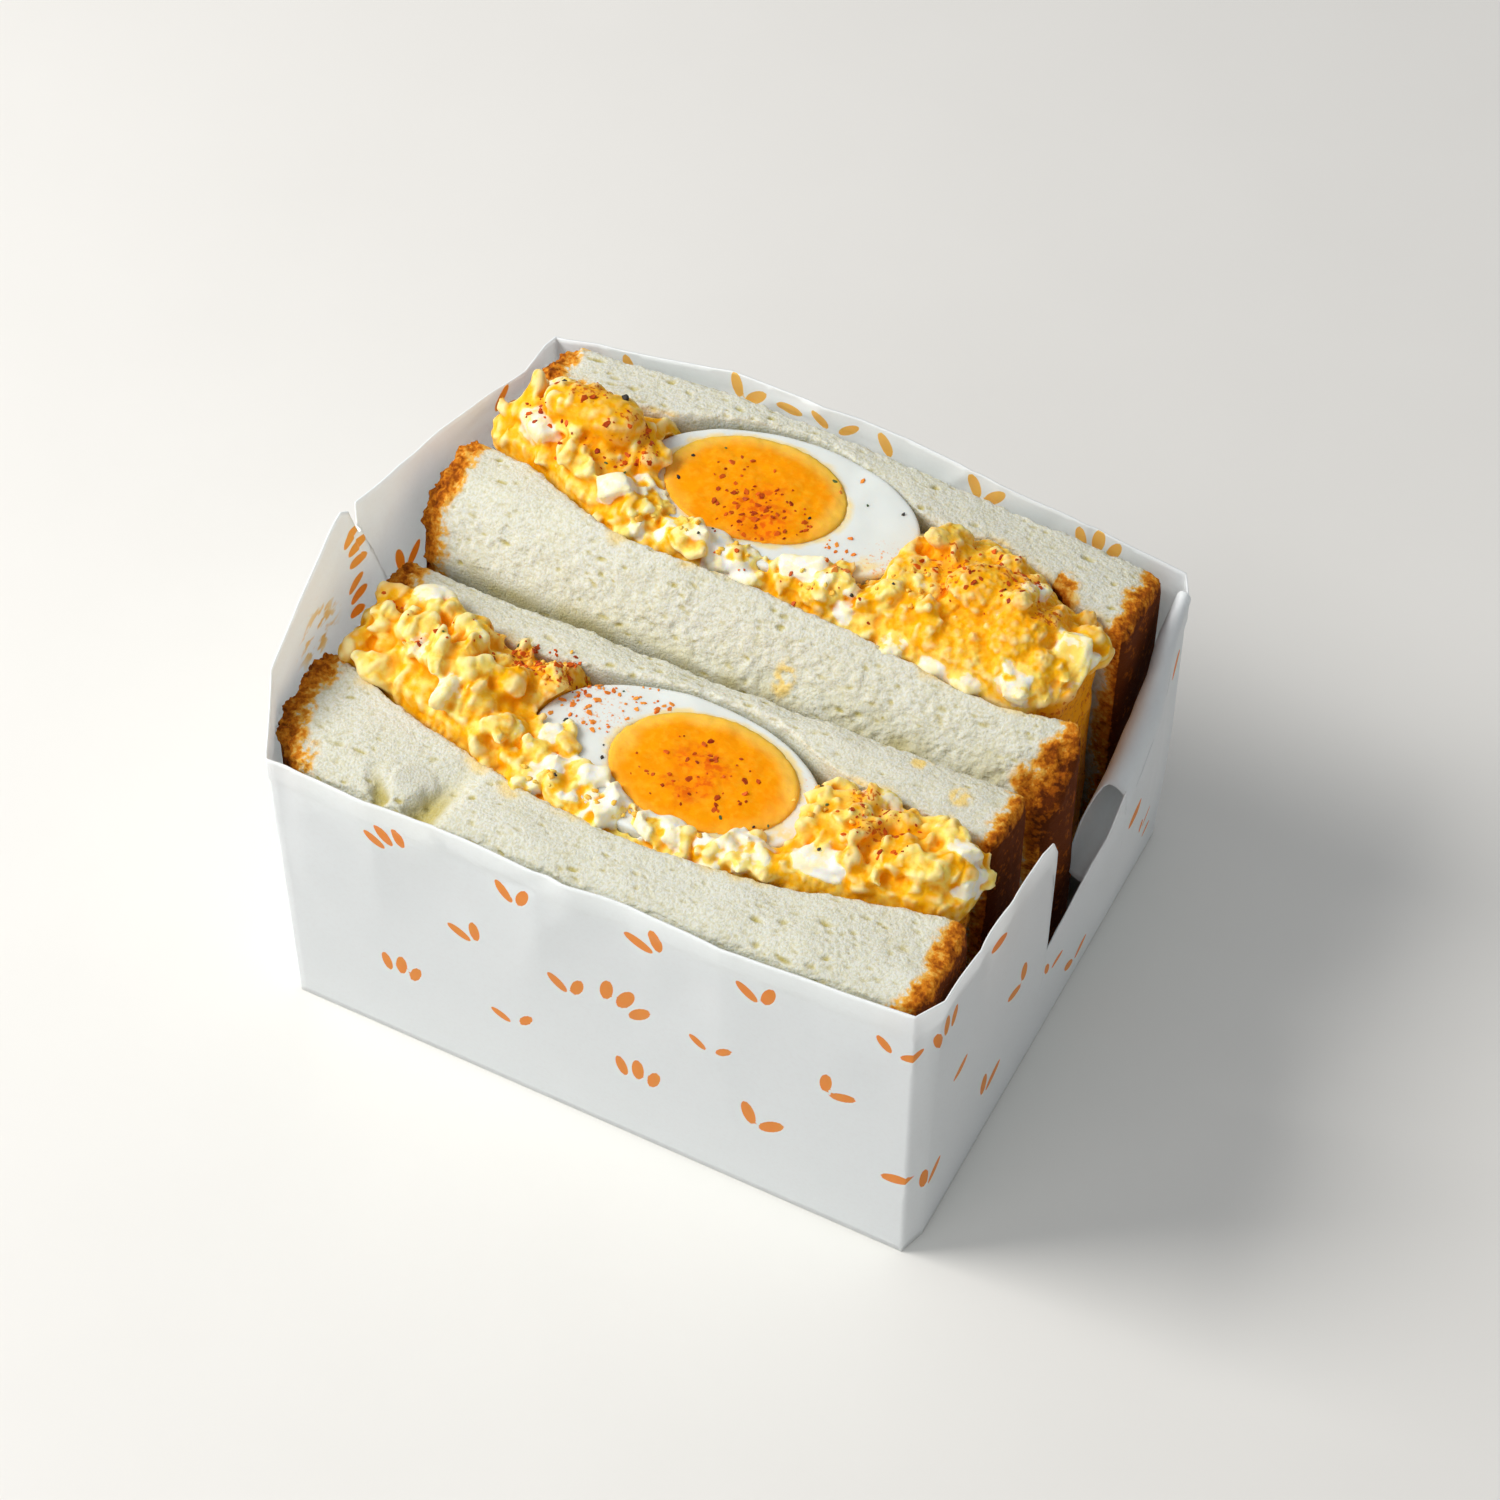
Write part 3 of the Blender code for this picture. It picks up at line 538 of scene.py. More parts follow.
def salad_paint():
    paint = Paint("egg_salad", 0.5, IOR=1.4, Specular_IOR_Level=0.07)
    paint.soften(0.22, (1.4, 0.8, 0.25))
    white, spice, warm = [paint.attribute(name) for name in ("white", "spice", "warm")]
    paint.start(warm, (0.95, 0.51, 0.006), (0.94, 0.37, 0.001))
    paint.cover(paint.patches(1.4, 0.42, 0.62, 0.0, 0.4), (0.96, 0.66, 0.07))
    cream = paint.blend(paint.times(warm, 0.6), (0.95, 0.76, 0.19), (0.96, 0.59, 0.03))
    coated = paint.math("ADD", white, paint.patches(1.6, 0.35, 0.65, -0.15, 0.15))
    for low, high, color in ((0.15, 0.65, cream), (0.68, 0.92, (0.92, 0.85, 0.60)),
                             (0.95, 1.15, (0.86, 0.86, 0.79))):
        paint.cover(paint.span(coated, low, high), color)
    # Painted highlight: a paler cream on the raised crests.
    pale = paint.times(paint.attribute("crest_highlight"), paint.span(warm, 0.3, 1.0, 0.75, 0.45))
    paint.cover(pale, (0.96, 0.86, 0.46))
    # Painted shade: deep orange in the hollows and on steep sides.
    deep = paint.times(paint.attribute("crease_shade"), paint.span(white, 0.75, 1.1, 1.0, 0.25))
    paint.cover(deep, (0.86, 0.31, 0.001))
    # Spice colour, which also serves as painted shade on the filling's end faces below the heap.
    paint.cover(paint.span(spice, 0.0, 1.0, 0.0, 0.35), (0.92, 0.34, 0.003))
    speckle = paint.span(paint.math("ADD", paint.grain(0.8, 4.0), paint.times(spice, 0.14)), 0.63, 0.74)
    spiced = paint.blend(paint.grain(2.4), (0.78, 0.20, 0.010), (0.44, 0.085, 0.006))
    paint.cover(paint.times(speckle, paint.span(spice, 0.0, 0.6)), spiced)
    paint.bump(paint.grain(0.8), 0.25, 0.2)
    return paint.done()


def white_paint():
    paint = Paint("boiled_white", 0.33, IOR=1.38, Specular_IOR_Level=0.35)
    paint.soften(0.5, (2.6, 2.2, 1.9))
    paint.start(paint.grain(6.0), (0.80, 0.82, 0.77), (0.76, 0.79, 0.75))
    stained = paint.times(paint.attribute("stain"), paint.patches(1.5, 0.35, 0.6))
    paint.cover(paint.times(stained, 0.7), (0.94, 0.68, 0.18))
    paint.cover(paint.times(paint.attribute("halo"), 0.85), (0.95, 0.70, 0.26))
    dusted = paint.times(paint.patches(0.6, 0.56, 0.68, detail=4.0), paint.attribute("spice"))
    paint.cover(paint.times(dusted, 0.8), (0.86, 0.30, 0.03))
    paint.bump(paint.grain(2.2), 0.12, 0.2)
    return paint.done()


def yolk_paint():
    paint = Paint("boiled_yolk", 0.65, IOR=1.4, Specular_IOR_Level=0.05)
    paint.soften(0.35, (2.6, 1.0, 0.15))
    spice = paint.attribute("spice")
    paint.start(paint.grain(5.0), (0.98, 0.37, 0.001), (0.96, 0.27, 0.001))
    paint.cover(paint.attribute("rim"), (0.96, 0.52, 0.07))
    paint.cover(paint.patches(1.4, 0.45, 0.65, 0.0, 0.25), (0.99, 0.52, 0.03))
    paint.cover(paint.span(spice, 0.0, 1.0, 0.0, 0.45), (0.92, 0.20, 0.002))
    paint.cover(paint.times(paint.patches(1.3, 0.46, 0.62, detail=4.0), spice), (0.78, 0.13, 0.004))
    paint.bump(paint.grain(0.7), 0.35, 0.15)
    return paint.done()


def crumbs_paint():
    paint = Paint("yolk_crumbs", 0.55, IOR=1.42)
    paint.soften(0.3, (1.6, 0.8, 0.2))
    paint.start(paint.attribute("tint"), (0.98, 0.62, 0.10), (0.96, 0.40, 0.01))
    paint.cover(paint.patches(0.8, 0.4, 0.7, 0.0, 0.5), (0.98, 0.72, 0.22))
    paint.bump(paint.grain(0.5), 0.4, 0.1)
    return paint.done()


def chilli_paint(name, light, dark):
    paint = Paint(name, 0.5, IOR=1.45, Specular_IOR_Level=0.15)
    paint.start(paint.attribute("tint"), light, dark)
    paint.cover(paint.patches(0.6, 0.4, 0.7, 0.0, 0.5), light)
    return paint.done()


def speck_paint(name, light, dark):
    paint = Paint(name, 0.7)
    paint.start(paint.attribute("tint"), light, dark)
    paint.bump(paint.grain(0.3), 0.4, 0.1)
    return paint.done()


def paper_paint():
    paint = Paint("greaseproof_paper", 0.5, IOR=1.45)
    paint.soften(1.0, (1.0, 1.0, 1.0))
    fibre = paint.grain(0.7, 4.0)
    paint.start(paint.grain(9.0), (0.84, 0.91, 0.91), (0.81, 0.88, 0.88))
    paint.cover(paint.span(fibre, 0.4, 0.8, 0.0, 0.12), (0.70, 0.70, 0.68))
    streaks = paint.span(paint.grain(1.6, 2.0, (1, 0.4, 0.8)), 0.50, 0.62)
    smear = paint.times(streaks, paint.attribute("smear"))
    paint.cover(paint.times(smear, 0.75), (0.80, 0.42, 0.03))
    ink = paint.blend(paint.grain(3.0), (0.95, 0.25, 0.015), (0.93, 0.21, 0.010))
    ink = paint.blend(paint.attribute("inside"), ink, (0.98, 0.48, 0.12))
    printed = paint.span(paint.attribute("print"), 0.46, 0.54)
    paint.cover(printed, ink)
    depth = paint.blend(printed, (1.0, 1.0, 1.0), (1.0, 0.7, 0.3))
    paint.fill(paint.shader.inputs["Subsurface Radius"], depth)
    paint.bump(fibre, 0.15, 0.05)
    return paint.done()


# Bread.

BREAD_VOXEL = 0.66
# The wrapper hides the crust below this height, and the slices' crusty ends lie past this distance from
# the middle.
CRUST_SHOWN_ABOVE = 28.0
LOAF_END = 50.0
ON_PLAN = (1, 1, 0)


def slice_piece(node):
    """A slice in the shape of its CAD node, with fine faces where it shows."""
    piece = copy_of(node, node.replace("bread", "slice"))
    modify(piece, "REMESH", mode="VOXEL", voxel_size=BREAD_VOXEL)
    x, _, z = points_of(piece.data).T
    ends = (np.abs(x) > LOAF_END + 4) & (z > CRUST_SHOWN_ABOVE)
    thin_out(piece, (z > CUT_FACE_ABOVE + 1) | ends, 0.06)
    refine(piece, lambda middle, normal: middle.z > CUT_FACE_ABOVE + 4 and normal.z > 0.15
           or abs(middle.x) > LOAF_END + 6 and middle.z > CRUST_SHOWN_ABOVE + 14)
    return piece


def reach_of_line(points, start, end):
    """Distance on the plan from a straight line between two places."""
    start, run = np.array(start), np.subtract(end, start)
    share = np.clip(((points[:, :2] - start) @ run) / (run @ run), 0, 1)
    return np.linalg.norm(points[:, :2] - start - share[:, None] * run, axis=1)


def distance_to(points, targets, asked, limit):
    """Distance from the asked points to the nearest target, and the limit for the others."""
    tree = tree_of(targets)
    distance = np.full(len(points), limit)
    for index in np.flatnonzero(asked):
        distance[index] = min(limit, tree.find(points[index])[2])
    return distance


def wear_away(points, corners, seed):
    """Lowers the worn corners, each (x, y, reach, depth), and tells where they are."""
    worn = np.zeros(len(points))
    for x, y, reach, depth in corners:
        away = away_from(points, x, y, reach) + 0.08 * layered_noise(points, 3.0, seed + 42)
        worn = np.maximum(worn, (1 - rise(away, 0.45, 0.95)) * rise(points[:, 2], 40, 56))
        points[:, 2] -= depth * worn
    return worn


def tear_away(points, dents, seed):
    """Lowers the torn hollows, each (start, end, reach, depth), and tells where they are."""
    torn = np.zeros(len(points))
    for start, end, reach, depth in dents:
        away = reach_of_line(points, start, end) / reach
        away += 0.22 * soft_noise(points * ON_PLAN, 2.2, seed + 40)
        onward = rise(np.abs(points[:, 1] - start[1]), 0, abs(end[1] - start[1]))
        here = (1 - rise(away, 0.1, 1.2)) * mix(0.25, 1.0, onward) * near_cut(points[:, 2])
        points[:, 2] -= depth * here
        torn = np.maximum(torn, here)
    return torn


def crust_places(points, facing, cut):
    """The baked skin, the distance to it, and the skin's distance to the cut face."""
    x, _, z = points.T
    near_end = np.abs(x) > LOAF_END - 6
    skin = (np.abs(facing[:, 0]) > 0.42) & near_end | (facing[:, 2] < -0.45) & (z < 8)
    to_skin = distance_to(points, points[skin], near_end | (z < 8), 9.0)
    return skin, to_skin, distance_to(points, points[cut > 0.6][::4], skin & (z > 40), 14.0)


def crumb_holes(points, seed):
    """Depth of the wide, middling and fine holes in the crumb, and how much painted shade they get."""
    along = points * (0.5, 1.0, 0.9) + 0.5 * wander(points, 3.0, seed + 2)
    distance, number = cells(along, 2.6, seed)
    wide = np.clip(1 - (distance / 0.26) ** 2, 0, 1) * (number > 0.72)
    distance, number = cells(along, 1.25, seed + 10)
    pores = np.clip(1 - (distance / (0.12 + 0.38 * number)) ** 2, 0, 1) * (0.3 + 0.7 * number)
    pores *= 0.6 + 0.5 * soft_noise(points, 7, seed + 3)
    distance, number = cells(along, 0.7, seed + 20)
    fine = np.clip(1 - (distance / (0.3 + 0.3 * number)) ** 2, 0, 1)
    return np.stack([0.5 * wide + 0.38 * pores + 0.16 * fine, 0.8 * wide + pores + 0.4 * fine])


def make_bread(node, seed, paint, stains=(), dents=(), flaps=(), worn_corners=(), longer=0.0):
    """A slice with a porous cut face and rough crust, in the shape of its CAD node."""
    piece = slice_piece(node)
    mesh = piece.data
    points = smoothed(mesh)
    x, _, z = points.T
    points[:, 0] -= longer * rise(-x, 42, 58)
    worn = wear_away(points, worn_corners, seed)
    torn_open = tear_away(points, dents, seed)
    set_points(mesh, points)
    normals = normals_of(mesh)
    facing = averaged(mesh, normals, 6)

    cut = rise(facing[:, 2], 0.3, 0.75) * (z > CUT_FACE_ABOVE)
    skin, to_skin, below_cut = crust_places(points, facing, cut)
    left = x < 0
    band = 1 - rise(to_skin + 1.2 * layered_noise(points, 3.0, seed), 0.2, np.where(left, 6.0, 4.6))
    deep = np.where(skin, rise(below_cut, 0.0, np.where(left, 9.0, 2.4)), 0)
    crust = np.clip(band * mix(np.where(left, 0.64, 0.62), np.where(left, 0.95, 1.08), deep), 0, 1.1)
    torn = band * (1 - 0.9 * rise(below_cut, 1.2, 4.5) * skin) * np.where(left, 0.9, 0.2)
    rough = torn * (0.9 * layered_noise(points, 2.0, seed + 8) + 0.45 * layered_noise(points, 0.9, seed + 9))

    edge = np.clip(1 - np.abs(facing[:, 2] - 0.55) / 0.4, 0, 1) * (z > CUT_FACE_ABOVE)
    lift = 0.35 * edge * (1 - 0.6 * band * (1 - left)) * layered_noise(points, 1.6, seed + 6)
    lift += 0.2 * layered_noise(points, 8, seed + 5, 2)
    holes = crumb_holes(points, seed)
    for flap_x, flap_y, reach, height in flaps:
        away = away_from(points, flap_x, flap_y, reach) + 0.15 * soft_noise(points * ON_PLAN, 3.0, seed + 41)
        smooth = 1 - rise(away, 0.75, 1.1)
        lift = lift * (1 - smooth) + height * smooth * near_cut(z)
        holes *= 1 - 0.85 * smooth
    depth, dark = holes
    move = lift * (1 - 0.7 * band) - depth * (1 - band) + rough - 0.2 * band
    quiet = mix(0.4, 1.0, np.maximum(cut, np.maximum(edge, band)))
    set_points(mesh, points + normals * (move * quiet)[:, None])

    # Painted shade: the holes, the torn hollows and the groove where the slice sinks below its cut face get
    # an olive shade colour.
    clouds = 0.5 + 0.4 * layered_noise(points, 4.0, seed + 13, 2)
    cut_height = FRONT_CUT if "front" in node else BACK_CUT
    sunk = rise(cut_height - z, 5.0, 13.0) * clouds * (1 - rise(np.abs(x), 50, 55))
    shade = np.maximum(torn_open, 0.75 * sunk)
    set_attribute(mesh, "crumb_shade", np.clip(np.maximum(dark, shade), 0, 1))
    set_attribute(mesh, "crust", np.maximum(crust, 0.95 * worn))
    near_filling = 1 - rise(distance_to(points, filling_points, cut > 0.2, 5.0), 0.5, 3.2)
    soaked = near_filling * rise(layered_noise(points, 5.0, seed + 11), -0.6, 0.5)
    marks = spots(points, stains, 2.0, seed + 12, -0.6, 0.2)
    set_attribute(mesh, "stain", np.clip(0.75 * soaked + marks, 0, 1))
    mesh.materials.append(paint)
    finish(piece, "bread", node)
    return piece


# Filling.

SALAD_VOXEL = 0.56
# Bits of egg lie on the heaps down to this depth below the cut face, and past this share of the boiled
# egg's own reach.
SHOWN_DEPTH = 5.0
CLEAR_OF_EGG = 1.03


class Region:
    """A stretch of salad with its own mix of pieces, and how grainy and warm it is."""

    def __init__(self, place, reach, grainy, warm, curds=0, strips=0, dice=0, grains=0):
        self.spot = (*place, *reach)
        self.grainy = grainy
        self.warm = warm
        self.counts = {"curd": curds, "strip": strips, "die": dice, "grain": grains}

    def share(self, points):
        return np.exp(-1.5 * away_from(points, *self.spot) ** 2)


class Chunk:
    """A large bit of egg: its middle, half sizes, turn in degrees, whiteness and how far it is raised."""

    def __init__(self, kind, place, radii, turn, whiteness, lift=0.0):
        self.kind = kind
        self.place = place
        self.radii = np.array(radii)
        self.turn = turned(*turn)
        self.whiteness = whiteness
        self.lift = lift

    def shape(self, ground, egg, draw):
        middle = np.array(ground.below(*self.place)[0])
        if egg.rim.reach(middle[None])[0] < CLEAR_OF_EGG:
            middle[2] = max(middle[2], egg.height - 0.4)
        middle[2] += self.lift
        if self.kind == "block":
            vertices, faces, _ = block(middle, 2 * self.radii, self.turn, draw)
        else:
            vertices, faces, _ = blob(middle, self.radii, self.turn, draw)
        return vertices, faces, self.whiteness


def morsel(kind, place, normal, draw):
    """One bit of chopped egg as (vertices, faces, whiteness)."""
    turn = random_turn(draw, 0.6)
    if kind == "strip":
        size = draw.uniform(0.8, 1.3)
        radii = np.array((draw.uniform(1.6, 3.0), 0.95, 0.75)) * size
        bend = draw.uniform(-0.35, 0.35)
        vertices, faces, _ = blob(place + normal * size * 0.1, radii, turn, draw, 3, 0.22, bend, 0.6)
        return vertices, faces, draw.choice((0.2, 0.35, 0.45, 0.5, 0.65))
    if kind == "die":
        size = draw.uniform(2.6, 4.6)
        sizes = np.array((size, size * draw.uniform(0.65, 0.95), size * draw.uniform(0.5, 0.8)))
        vertices, faces, _ = block(place + normal * size * 0.05, sizes, turn, draw)
        return vertices, faces, draw.uniform(0.95, 1.15)
    if kind == "grain":
        size = draw.uniform(0.4, 0.85)
        vertices, faces, _ = blob(place + normal * size * 0.5, np.full(3, size), turn, draw, 1, 0.3)
        return vertices, faces, draw.uniform(-0.2, 0.35)
    size = draw.uniform(1.3, 2.7)
    radii = np.array((draw.uniform(1.0, 1.6), draw.uniform(0.8, 1.0), draw.uniform(0.6, 0.8))) * size
    vertices, faces, _ = blob(place - normal * size * 0.05, radii, turn, draw, 3, 0.3)
    return vertices, faces, draw.choice((0.0, 0.1, 0.3, 0.45, 0.5, 0.6, 0.8))


def shares_of(regions, points):
    """How much of each region there is at each point, one row a region, adding up to 1."""
    shares = np.stack([region.share(points) for region in regions])
    return shares / (shares.sum(axis=0) + 1e-9)


def scattered_morsels(piece, regions, egg, seed, draw):
    """Bits of chopped egg over the open surface of the salad, mixed as the regions say."""
    places, normals = surface_samples(piece, 16000, seed)
    shown = (places[:, 2] > egg.height - SHOWN_DEPTH) & (normals[:, 2] > -0.2)
    shown &= egg.rim.reach(places) > CLEAR_OF_EGG
    places, normals = places[shown], normals[shown]
    shapes = []
    picker = np.random.default_rng(seed)
    for region, share in zip(regions, shares_of(regions, places) ** 2):
        weights = share * region.share(places)
        for kind, count in region.counts.items():
            for index in picker.choice(len(places), count, p=weights / weights.sum()):
                shapes.append(morsel(kind, places[index], normals[index], draw))
    return shapes


def rim_morsels(egg, rims, draw):
    """Bits that lie over the boiled egg's rim, from one angle to another and as far in as a reach."""
    shapes = []
    for start, end, inner in rims:
        for turn in np.radians(np.arange(start, end, 4.0)):
            reach = draw.uniform(inner, 1.0)
            place = np.array((egg.rim.x + egg.rim.length / 2 * reach * math.cos(turn),
                              egg.rim.y + egg.rim.width / 2 * reach * math.sin(turn), egg.height + 0.3))
            kind = draw.choice(("curd", "strip", "die", "die", "grain"))
            shapes.append(morsel(kind, place, np.array((0.0, 0.0, 1.0)), draw))
    return shapes


def whiteness_from(shapes, points, asked):
    """The whiteness of the nearest bit at each asked point, and a creamy one away from them."""
    vertices, faces, _, tints = merged(shapes)
    tree = BVHTree.FromPolygons([tuple(vertex) for vertex in vertices], faces)
    white = np.full(len(points), 0.25)
    for index in np.flatnonzero(asked):
        face = tree.find_nearest(Vector(points[index]), 1.2)[2]
        if face is not None:
            white[index] = tints[face]
    return white


def salad_relief(points, grainy, seed):
    """Height of the folds of dressing, or of the grains where it is grainy, and the grains' numbers."""
    flow = (points + 0.8 * wander(points, 3, seed)) * (1.0, 0.5, 0.6)
    folds = 1.25 * (np.abs(soft_noise(flow, 2.4, seed + 1)) - 0.3)
    folds += 0.5 * (np.abs(soft_noise(flow, 1.2, seed + 2)) - 0.3)
    distance, number = cells(points, 1.5, seed)
    grains = 0.8 * (0.75 - distance) * mix(0.5, 1.0, number)
    grains += 0.35 * (0.7 - cells(points, 0.8, seed + 30)[0])
    return mix(folds, grains, grainy), number


def make_salad(node, regions, chunks, spices, seed, paint, egg, rims):
    """Chopped egg in dressing, in the shape of its CAD node with finer bits over it."""
    draw = random.Random(seed)
    piece = copy_of(node, node + "_heap")
    ground = Ground(piece)
    shapes = scattered_morsels(piece, regions, egg, seed, draw)
    shapes += rim_morsels(egg, rims, draw)
    shapes += [chunk.shape(ground, egg, draw) for chunk in chunks]
    join(piece, joined("lumps", shapes, None))
    modify(piece, "REMESH", mode="VOXEL", voxel_size=SALAD_VOXEL)
    x, _, z = points_of(piece.data).T
    thin_out(piece, z > egg.height - np.where(np.abs(x) > 52, 18, 6), 0.05)
    refine(piece, lambda middle, normal: middle.z > egg.height - 3 and normal.z > -0.1)
    mesh = piece.data
    points = smoothed(mesh)
    x, y, z = points.T
    white = averaged(mesh, whiteness_from(shapes, points, z > egg.height - 12), 2)
    past_end = rise(np.abs(x), 49, 58)
    # Below the heap past the ends the filling is pulled back and given painted shade: crease and spice
    # colour, and less white.
    below_heap = rise(z, egg.height, egg.height - 7) * past_end
    points[:, 0] -= np.sign(x) * 3.0 * below_heap
    behind = rise(y, egg.rim.y + 5, egg.rim.y + 8)
    beside_egg = 1 - rise(np.abs(x - egg.rim.x), 22, 27)
    points[:, 2] -= 4.5 * behind * beside_egg
    set_points(mesh, points)
    normals = normals_of(mesh)

    shares = shares_of(regions, points)
    grainy, warm = [sum(share * getattr(region, kind) for share, region in zip(shares, regions))
                    for kind in ("grainy", "warm")]
    relief, number = salad_relief(points, grainy, seed)
    crown = np.maximum(rise(normals[:, 2], -0.2, 0.4) * near_cut(z), past_end)
    smooth = 1 - 0.75 * rise(white, 0.75, 0.95)
    moved = points + normals * (crown * smooth * (relief - 0.15))[:, None]
    set_points(mesh, mix(moved, averaged(mesh, moved, 2), 0.6 * (1 - grainy)[:, None]))

    # Painted shade and highlight: hollows, broad dips and steep sides get a deep orange shade colour, raised
    # crests a pale highlight colour.
    hollow = averaged(mesh, hollows(mesh, 12), 1)
    dip = hollows(mesh, 70)
    steep = rise(averaged(mesh, normals_of(mesh), 2)[:, 2], 0.75, 0.05)
    crease_shade = np.clip(hollow / 0.25, 0, 1) * 0.8 + np.clip(dip / 0.8, 0, 1) * 0.5 + 0.18 * steep
    set_attribute(mesh, "crease_shade", np.clip(np.maximum(crease_shade * (1 - 0.45 * grainy), 0.95 * below_heap), 0, 1))
    set_attribute(mesh, "crest_highlight", np.clip((-hollow - 0.03) / 0.2, 0, 1))
    streaks = layered_noise(points, 3.0, seed + 14)
    set_attribute(mesh, "white", np.clip(white + 0.18 * streaks, 0, 1.2) * (1 - 0.7 * below_heap))
    set_attribute(mesh, "warm", np.clip(warm + 0.35 * layered_noise(points, 3.2, seed + 15)
                                        + 0.3 * grainy * (number - 0.5), 0, 1))
    dusting = spots(points, spices, 3.0, seed + 16, -0.7, 0.3)
    set_attribute(mesh, "spice", np.clip(np.maximum(dusting, 0.8 * below_heap), 0, 1))
    mesh.materials.append(paint)
    finish(piece, "egg_salad", node)
    return piece


class Oval:
    """The outline of a boiled egg's cut white or yolk."""

    def __init__(self, x, y, length, width, wobble):
        self.x = x
        self.y = y
        self.length = length
        self.width = width
        self.wobble = wobble

    def reach(self, points):
        """Distance from the middle, as 1 on the rim."""
        return away_from(points, self.x, self.y, self.length / 2, self.width / 2)


class Egg:
    """A boiled egg cut along its length, as in the CAD source."""

    depth = 20.0
    yolk_depth = 14.5
    gap = 0.25
    tilt = -0.02
    segments = 150

    def __init__(self, side, centre, yolk_shift, height, seed):
        x, y = centre[0] + SHIFT[0], centre[1] + SHIFT[1]
        self.side = side
        self.rim = Oval(x, y, 53.0, 31.5, 0.012)
        self.yolk = Oval(x + yolk_shift[0], y + yolk_shift[1], 34.0, 25.0, 0.008)
        self.seat = Oval(self.yolk.x, self.yolk.y, self.yolk.length - 0.6, self.yolk.width - 0.6, 0.0)
        self.height = height
        self.seed = seed

    def ring(self, oval, reach, drop, inset=0.0):
        """Points round an oval at a share of its size, a drop below the cut face."""
        turns = np.linspace(0, 2 * math.pi, self.segments, endpoint=False)
        circle = np.stack([np.cos(turns), np.sin(turns), np.zeros(self.segments)], axis=-1)
        out = reach * (1 + oval.wobble * soft_noise(circle, 0.45, self.seed))
        x = oval.x + (oval.length / 2 - inset) * circle[:, 0] * out
        y = oval.y + (oval.width / 2 - inset) * circle[:, 1] * out
        return np.stack([x, y, self.height + self.tilt * (y - self.rim.y) - drop], axis=-1)

    def bowl(self, oval, levels, depth, drop):
        """Rings of a bowl at some levels, 0 at its rim and 1 at its bottom."""
        angles = [level * math.pi / 2 for level in levels]
        return [self.ring(oval, math.cos(angle), depth * math.sin(angle) + drop) for angle in angles]

    def skin(self, name, rings, bottom, top, paint):
        """A piece from stacked rings, closed by a point at each end, each (oval, drop)."""
        count = self.segments
        ends = [(oval.x, oval.y, self.height - drop) for oval, drop in (bottom, top)]
        vertices = np.concatenate([*rings, ends])
        faces = grid_faces(len(rings), count)
        last = (len(rings) - 1) * count
        for column in range(count):
            following = (column + 1) % count
            faces.append([following, column, len(vertices) - 2])
            faces.append([last + column, last + following, len(vertices) - 1])
        return new_piece(name + self.side, vertices, faces, paint)


def make_white(egg, stains, spices, paint):
    """The cut white: a smooth bowl with a soft rim, hollowed for the yolk."""
    edge = 0.7
    rings = egg.bowl(egg.rim, np.linspace(0.94, 0.06, 10), egg.depth, edge)
    for angle in np.linspace(0.0, 1.0, 5) * math.pi / 2:
        rings.append(egg.ring(egg.rim, 1.0, edge * (1 - math.sin(angle)), edge * (1 - math.cos(angle))))
    rim, inner = rings[-1], egg.ring(egg.seat, 1.0, 0.05)
    rings += [mix(rim, inner, share) for share in np.linspace(0.08, 1.0, 14)]
    seat_depth = egg.yolk_depth + egg.gap
    rings += egg.bowl(egg.seat, np.linspace(0.06, 0.92, 7), seat_depth, 0.0)
    piece = egg.skin("white_", rings, (egg.rim, egg.depth + 0.6), (egg.yolk, seat_depth), paint)
    mesh = piece.data
    points = points_of(mesh)
    flat = rise(points[:, 2], egg.height - 1.2, egg.height - 0.3)
    points[:, 2] += flat * 0.22 * layered_noise(points * (1, 1, 0.2), 6.0, egg.seed, 2)
    set_points(mesh, points)
    set_attribute(mesh, "stain", spots(points, stains, 2.6, egg.seed + 2, -0.5, 0.5))
    set_attribute(mesh, "spice", spots(points, spices, 3.0, egg.seed + 3, -0.6, 0.4))
    ragged = egg.yolk.reach(points) + 0.05 * layered_noise(points, 2.0, egg.seed + 4)
    set_attribute(mesh, "halo", 1 - rise(ragged, 1.0, 1.09))
    finish(piece, "egg_white", "egg_white_" + egg.side)
    return piece


